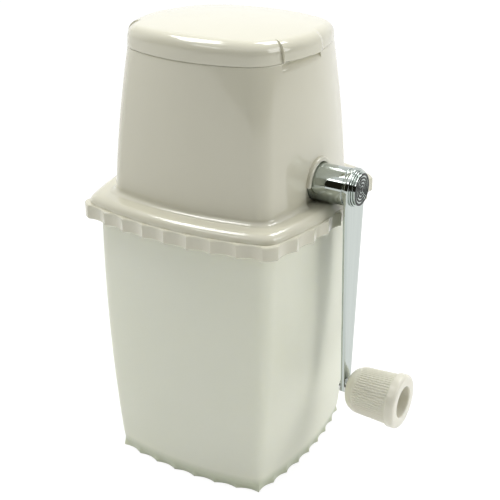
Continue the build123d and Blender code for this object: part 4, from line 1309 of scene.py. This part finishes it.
# ---------------------------------------------------------------- crank
@dataclass
class Crank:
    """The chrome barrel, flat arm and stepped cap that turn the cutter shaft."""

    axis_z: float = 169.3
    neck: tuple[float, float] = (42.5, 5.6)
    barrel: tuple[float, float, float] = (49.2, 71.45, 9.9)
    bore: float = 4.02
    arm_faces: tuple[float, float] = (71.45, 73.8)
    arm_head: float = 10.7
    arm_tip: float = 4.0
    tip_z: float = 52.4
    arm_edge: float = 0.45
    cap_radius: float = 8.6
    cap_step: float = 9.7
    cap_face: float = 77.0
    cap_wall: float = 0.8
    grooves: int = 4
    groove_pitch: float = 1.7
    groove_width: float = 0.7
    groove_depth: float = 0.35

    def barrel_skin(self) -> Skin:
        """Return the barrel turned about the crank's axis, with its bore."""
        start, end, radius = self.barrel
        corners = [
            (self.neck[0], self.bore, 0.0),
            (self.neck[0], self.neck[1], 0.3),
            (start, self.neck[1], 0.2),
            (start, radius, 0.7),
            (end - 1.7, radius, 0.25),
            (end - 1.7, radius - 0.45, 0.15),
            (end - 1.0, radius - 0.45, 0.15),
            (end - 1.0, radius, 0.25),
            (end, radius, 0.25),
            (end, self.bore, 0.0),
            (self.neck[0], self.bore, 0.0),
        ]
        return Skin("crank_barrel_turned").grid(turned(rounded_profile(corners), self.axis_z))

    def arm_skin(self) -> Skin:
        """Return the arm: the hull of the head and tip circles, with rounded edges.

        The hull's straight edges touch both circles. Their direction leans from the crank's
        line by the angle whose sine is the difference of the radii over their distance. The
        two faces are filled through rings that shrink onto the line between the two circles' centres.
        """
        length = self.axis_z - self.tip_z
        lean = math.asin((self.arm_head - self.arm_tip) / length)
        head = np.linspace(-lean, math.pi + lean, 73)
        foot = np.linspace(math.pi + lean, 2 * math.pi - lean, 41)
        loop = np.concatenate(
            [
                np.stack([self.arm_head * np.cos(head), self.axis_z + self.arm_head * np.sin(head)], axis=1),
                np.stack([self.arm_tip * np.cos(foot), self.tip_z + self.arm_tip * np.sin(foot)], axis=1),
            ]
        )
        away = np.concatenate(
            [np.stack([np.cos(head), np.sin(head)], axis=1), np.stack([np.cos(foot), np.sin(foot)], axis=1)]
        )
        spread = np.linspace(0, 1, 25)[1:-1, None]
        for at in (len(loop), len(head)):
            here, there = loop[at - 1], loop[at % len(loop)]
            loop = np.insert(loop, at, here + (there - here) * spread, axis=0)
            away = np.insert(away, at, np.repeat(away[at - 1 : at], len(spread), axis=0), axis=0)
        low, high = self.arm_faces
        size = self.arm_edge
        rows = []
        for lean_in in np.linspace(0, math.pi / 2, 6):
            draw, depth = size * (1 - math.sin(lean_in)), size * (1 - math.cos(lean_in))
            rows.append(np.column_stack([np.full(len(loop), low + depth), loop - away * draw]))
        for lean_in in np.linspace(math.pi / 2, 0, 6):
            draw, depth = size * (1 - math.sin(lean_in)), size * (1 - math.cos(lean_in))
            rows.append(np.column_stack([np.full(len(loop), high - depth), loop - away * draw]))
        spine_z = np.clip(loop[:, 1], self.tip_z, self.axis_z)
        spine = np.column_stack([np.zeros(len(loop)), spine_z])
        face = loop - away * size
        for share in (0.25, 0.55, 0.85, 1.0):
            rows.append(np.column_stack([np.full(len(loop), high), face + (spine - face) * share]))
            rows.insert(0, np.column_stack([np.full(len(loop), low), face + (spine - face) * share]))
        return Skin("crank_arm_plate").grid(np.stack(rows))

    def cap_skin(self) -> Skin:
        """Return the cap: a step and two beads under a face with ring grooves."""
        start, face, wall = self.arm_faces[1], self.cap_face, self.cap_wall
        corners = [
            (start, self.cap_radius - wall, 0.0),
            (start, self.cap_step, 0.1),
            (start + 0.75, self.cap_step, 0.3),
            (start + 0.75, self.cap_radius - 0.25, 0.1),
            (start + 1.15, self.cap_radius - 0.25, 0.1),
            (start + 1.15, self.cap_step - 0.25, 0.3),
            (start + 1.8, self.cap_step - 0.25, 0.3),
            (start + 1.8, self.cap_radius - 0.5, 0.1),
            (start + 2.2, self.cap_radius - 0.5, 0.1),
            (start + 2.2, self.cap_radius, 0.2),
            (face, self.cap_radius, 0.45),
        ]
        for ring in range(self.grooves):
            middle = self.cap_radius - (ring + 1) * self.groove_pitch
            out, back = middle + self.groove_width / 2, middle - self.groove_width / 2
            corners += [(face, out, 0.15), (face - self.groove_depth, out, 0.1)]
            corners += [(face - self.groove_depth, back, 0.1), (face, back, 0.15)]
        corners += [(face, 0.0, 0.0), (face - wall, 0.0, 0.0), (face - wall, self.cap_radius - wall, 0.2)]
        corners += [(start, self.cap_radius - wall, 0.0)]
        return Skin("crank_cap_turned").grid(turned(rounded_profile(corners, 5), self.axis_z))

    def assemble(self, paint: Paintbox) -> None:
        """Build, dress and place the barrel, arm and cap."""
        for skin, node in (
            (self.barrel_skin(), "crank_barrel"),
            (self.arm_skin(), "crank_arm"),
            (self.cap_skin(), "crank_cap"),
        ):
            piece = skin.build()
            paint.dress(piece, Slot.CHROME)
            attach(piece, "crank")
            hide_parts(node)
            LOG.info("%s: %d faces", node, len(piece.data.polygons))


# ---------------------------------------------------------------- knob
@dataclass
class Knob:
    """The ribbed knob: a smooth dome, fine ribs, a round rim and a deep pocket."""

    axis_z: float = 52.4
    start: float = 75.1
    end: float = 107.3
    seat: float = 4.2
    dome: tuple[float, float, float] = (6.5, 12.6, 1.8)
    barrel: float = 13.8
    rim: float = 15.0
    rim_length: float = 5.5
    rim_rounds: tuple[float, float] = (1.0, 2.2)
    ribs: int = 56
    rib_depth: float = 0.42
    pocket: tuple[float, float] = (8.6, 17.0)
    bore: float = 3.05
    columns: int = 448

    def dome_line(self) -> np.ndarray:
        """Return the dome's x and radius: an arc that bulges from the straight line."""
        depth, radius, bulge = self.dome
        ends = np.array([[self.start, self.seat], [self.start + depth, radius]])
        run = ends[1] - ends[0]
        length = float(np.hypot(*run))
        share = np.linspace(0, 1, 18)[:, None]
        out = np.array([-run[1], run[0]]) / length
        return ends[0] + run * share + out * bulge * (1 - (2 * share - 1) ** 2)

    def skin(self) -> Skin:
        """Return the knob.

        The half section is turned about the knob's axis. Between the dome and the rim the
        radius swells and sinks with the cosine of the ribs' count times the turn, raised so
        that the ridges are broad and the valleys narrow, and fades out at both ends.
        """
        dome = self.dome_line()
        rib_start, rib_end = dome[-1, 0], self.end - self.rim_length
        along = np.linspace(0, 1, 26)
        rib_radii = dome[-1, 1] + (self.barrel - dome[-1, 1]) * along
        ribbed = np.stack([rib_start + (rib_end - rib_start) * along, rib_radii])
        rim = rounded_profile(
            [
                (rib_end, self.barrel - 0.2, 0.0),
                (rib_end, self.rim, self.rim_rounds[0]),
                (self.end, self.rim, self.rim_rounds[1]),
                (self.end, self.pocket[0], 0.9),
                (self.end - self.pocket[1], self.pocket[0] - 0.3, 0.8),
                (self.end - self.pocket[1], self.bore, 0.0),
                (self.start, self.bore, 0.0),
                (self.start, self.seat, 0.0),
            ],
            9,
        )
        profile = np.concatenate([dome[:-1], ribbed.T, rim])
        turn = np.linspace(0, 2 * math.pi, self.columns, endpoint=False)
        fade = np.zeros(len(profile))
        first = len(dome) - 1
        fade[first : first + len(along)] = np.clip(along * 12, 0, 1) * np.clip((1 - along) * 30, 0, 1)
        wave = 1 - np.abs(np.sin(turn * self.ribs / 2)) ** 3.0
        radius = profile[:, 1:] - self.rib_depth * fade[:, None] * (1 - wave)[None] + 0.2 * fade[:, None]
        along_x = np.broadcast_to(profile[:, :1], radius.shape)
        grid = np.stack([along_x, radius * np.cos(turn), self.axis_z + radius * np.sin(turn)], axis=-1)
        return Skin("knob_turned").grid(grid)

    def assemble(self, paint: Paintbox) -> None:
        """Build, dress and place the knob."""
        piece = self.skin().build(crisp=50.0)
        paint.dress(piece, Slot.KNOB)
        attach(piece, "knob")
        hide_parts("knob")
        LOG.info("knob: %d faces", len(piece.data.polygons))


# ---------------------------------------------------------------- carried-over nodes
NODE_SLOTS: dict[str, Slot] = {
    "hopper_funnel": Slot.WHITE,
    "frame_plate_right": Slot.FRAME,
    "frame_plate_left": Slot.FRAME,
    "tie_rods": Slot.FRAME,
    "front_comb": Slot.FRAME,
    "rear_comb": Slot.FRAME,
    "shaft_bush_right": Slot.BUSH,
    "shaft_bush_left": Slot.BUSH,
    "thrust_washer": Slot.FASTENER,
    "retaining_ring": Slot.FASTENER,
    "cutter_shaft": Slot.CUTTER,
    "cutter_blades": Slot.CUTTER,
    "blade_spacers": Slot.CUTTER,
    "crank_screw": Slot.FASTENER,
    "knob_spindle": Slot.FASTENER,
    "knob_washer": Slot.FASTENER,
    "knob_nut": Slot.FASTENER,
    "frame_screws": Slot.FASTENER,
    "housing_screws": Slot.FASTENER,
}


@dataclass
class Works:
    """The pieces that come over from the solids with a new finish."""

    slots: dict[str, Slot] = field(default_factory=lambda: dict(NODE_SLOTS))

    def assemble(self, nodes: dict[str, bpy.types.Object], paint: Paintbox) -> None:
        """Dress every carried-over node.

        Args:
            nodes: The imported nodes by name.
            paint: The made finishes.
        """
        for name, slot in self.slots.items():
            paint.dress(nodes[name], slot)
        LOG.info("works: %d nodes dressed", len(self.slots))


# ---------------------------------------------------------------- studio
@dataclass
class Studio:
    """Floor, backdrop, lamps, surroundings and camera."""

    azimuth: float = 30.31
    elevation: float = 24.615
    roll: float = -0.221
    place: tuple[float, float, float] = (293.23, -482.65, 376.25)
    lens: float = 79.95
    floor_reach: float = 2600.0
    floor_share: float = 0.78
    floor_glow: float = 1.12
    front: tuple[float, float, float] = (0.5, -0.866, 0.0)
    front_span: tuple[float, float] = (-0.35, 0.1)
    rise_span: tuple[float, float] = (0.5, 0.72)
    pale: tuple[float, float, float] = (0.62, 0.63, 0.63)
    dim: tuple[float, float, float] = (0.02, 0.018, 0.012)

    def camera(self) -> None:
        """Place the camera by its azimuth, elevation and roll, which the photograph gave."""
        turn, lift, tilt = (math.radians(v) for v in (self.azimuth, self.elevation, self.roll))
        back = np.array([math.sin(turn) * math.cos(lift), -math.cos(turn) * math.cos(lift), math.sin(lift)])
        right = np.array([math.cos(turn), math.sin(turn), 0.0])
        up = np.cross(back, right)
        level = math.cos(tilt) * right - math.sin(tilt) * up
        upright = math.sin(tilt) * right + math.cos(tilt) * up
        pose = np.eye(4)
        pose[:3, 0], pose[:3, 1], pose[:3, 2] = level, upright, back
        pose[:3, 3] = np.array(self.place) * MM
        data = bpy.data.cameras.new("photo_camera")
        data.lens = self.lens
        data.sensor_width = 36.0
        data.clip_start = 0.01
        data.clip_end = 20.0
        camera = bpy.data.objects.new("photo_camera", data)
        camera.matrix_world = Matrix(pose.tolist())
        bpy.context.scene.collection.objects.link(camera)
        bpy.context.scene.camera = camera

    def floor(self) -> None:
        """Lay a pale floor that shows pure white to the eye and keeps the object's shadow."""
        reach = self.floor_reach
        rows = [[[-reach, y, 0], [reach, y, 0]] for y in (-reach, reach)]
        corners = np.array(rows, float)
        floor = Skin("studio_floor").grid(corners, closed=False).build(closed_shell=False)
        material, shader = empty_material("studio_floor")
        shader.inputs["Base Color"].default_value = (0.93, 0.93, 0.93, 1.0)
        shader.inputs["Roughness"].default_value = 0.9
        tree = material.node_tree
        glow, mix = tree.nodes.new("ShaderNodeEmission"), tree.nodes.new("ShaderNodeMixShader")
        glow.inputs["Strength"].default_value = self.floor_glow
        share = tree.nodes.new("ShaderNodeMath")
        share.operation = "MULTIPLY"
        share.inputs[1].default_value = self.floor_share
        tree.links.new(seen_rays(tree), share.inputs[0])
        tree.links.new(share.outputs[0], mix.inputs["Fac"])
        tree.links.new(shader.outputs[0], mix.inputs[1])
        tree.links.new(glow.outputs[0], mix.inputs[2])
        tree.links.new(mix.outputs[0], tree.nodes["Material Output"].inputs["Surface"])
        floor.data.materials.append(material)

    def surroundings(self) -> None:
        """Light the room softly: pale all round and above, dim and warm low down at the front.

        The dim part is the product of two smooth ramps, one of the ray's direction along the
        room's front and one of its rise. The eye itself sees plain white.
        """
        world = bpy.data.worlds.new("studio")
        bpy.context.scene.world = world
        world.use_nodes = True
        tree = world.node_tree
        place = tree.nodes.new("ShaderNodeTexCoord")
        ahead, split = tree.nodes.new("ShaderNodeVectorMath"), tree.nodes.new("ShaderNodeSeparateXYZ")
        ahead.operation = "DOT_PRODUCT"
        ahead.inputs[1].default_value = self.front
        tree.links.new(place.outputs["Generated"], ahead.inputs[0])
        tree.links.new(place.outputs["Generated"], split.inputs[0])
        ramps = []
        for source, (low, high), (start, end) in (
            (ahead.outputs["Value"], self.front_span, (0.0, 1.0)),
            (split.outputs["Z"], self.rise_span, (1.0, 0.0)),
        ):
            ramp = tree.nodes.new("ShaderNodeMapRange")
            ramp.interpolation_type = "SMOOTHSTEP"
            for label, value in (("From Min", low), ("From Max", high), ("To Min", start), ("To Max", end)):
                ramp.inputs[label].default_value = value
            tree.links.new(source, ramp.inputs["Value"])
            ramps.append(ramp.outputs["Result"])
        path, unseen = tree.nodes.new("ShaderNodeLightPath"), tree.nodes.new("ShaderNodeMath")
        unseen.operation = "SUBTRACT"
        unseen.inputs[0].default_value = 1.0
        tree.links.new(path.outputs["Is Camera Ray"], unseen.inputs[1])
        card = unseen.outputs[0]
        for ramp in ramps:
            product = tree.nodes.new("ShaderNodeMath")
            product.operation = "MULTIPLY"
            tree.links.new(card, product.inputs[0])
            tree.links.new(ramp, product.inputs[1])
            card = product.outputs[0]
        room = mixed_colour(tree, card, self.pale, self.dim)
        tree.links.new(mixed_colour(tree, seen_rays(tree), self.pale, (1.0, 1.0, 1.0)), room.node.inputs[6])
        tree.links.new(room, tree.nodes["Background"].inputs["Color"])

    def lamp(self, name: str, place: tuple, aim: tuple, size: tuple[float, float], power: float) -> None:
        """Hang one soft rectangular lamp.

        Args:
            name: Name of the lamp.
            place: Where it hangs, in metres.
            aim: The point it faces, in metres.
            size: Its width and height, in metres.
            power: Its power in watts.
        """
        data = bpy.data.lights.new(name, "AREA")
        data.shape = "RECTANGLE"
        data.size, data.size_y = size
        data.energy = power
        light = bpy.data.objects.new(name, data)
        back = np.array(place, float) - np.array(aim, float)
        back /= np.linalg.norm(back)
        right = np.cross([0.0, 0.0, 1.0], back)
        right = right / np.linalg.norm(right) if np.linalg.norm(right) > 1e-6 else np.array([1.0, 0.0, 0.0])
        pose = np.eye(4)
        pose[:3, 0], pose[:3, 1], pose[:3, 2], pose[:3, 3] = right, np.cross(back, right), back, place
        light.matrix_world = Matrix(pose.tolist())
        bpy.context.scene.collection.objects.link(light)

    def assemble(self) -> None:
        """Set up the whole studio."""
        self.camera()
        self.floor()
        self.surroundings()
        self.lamp("top_softbox", place=(-0.5, -0.12, 1.3), aim=(0.0, 0.0, 0.2), size=(0.7, 0.45), power=9.5)
        self.lamp("back_softbox", place=(0.1, 0.7, 1.25), aim=(0.0, 0.0, 0.15), size=(0.6, 0.4), power=6.0)
        self.lamp("side_softbox", place=(1.3, 0.35, 0.8), aim=(0.0, 0.0, 0.13), size=(0.7, 0.7), power=6.5)
        self.lamp("front_softbox", place=(-0.4, -1.3, 1.3), aim=(0.0, 0.0, 0.12), size=(0.6, 0.25), power=2.2)
        bpy.context.scene.view_settings.view_transform = "Standard"
        LOG.info("studio ready")


def main() -> None:
    """Load the frame, set up the studio and build each sub-assembly in order."""
    logging.basicConfig(level=logging.INFO, format="%(name)s: %(message)s")
    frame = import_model()
    paint = Paintbox()
    Studio().assemble()
    Container().assemble(paint)
    Collar().assemble(paint)
    Housing().assemble(paint)
    Lid().assemble(paint)
    Crank().assemble(paint)
    Knob().assemble(paint)
    Works().assemble(frame["nodes"], paint)


if __name__ == "__main__":
    main()
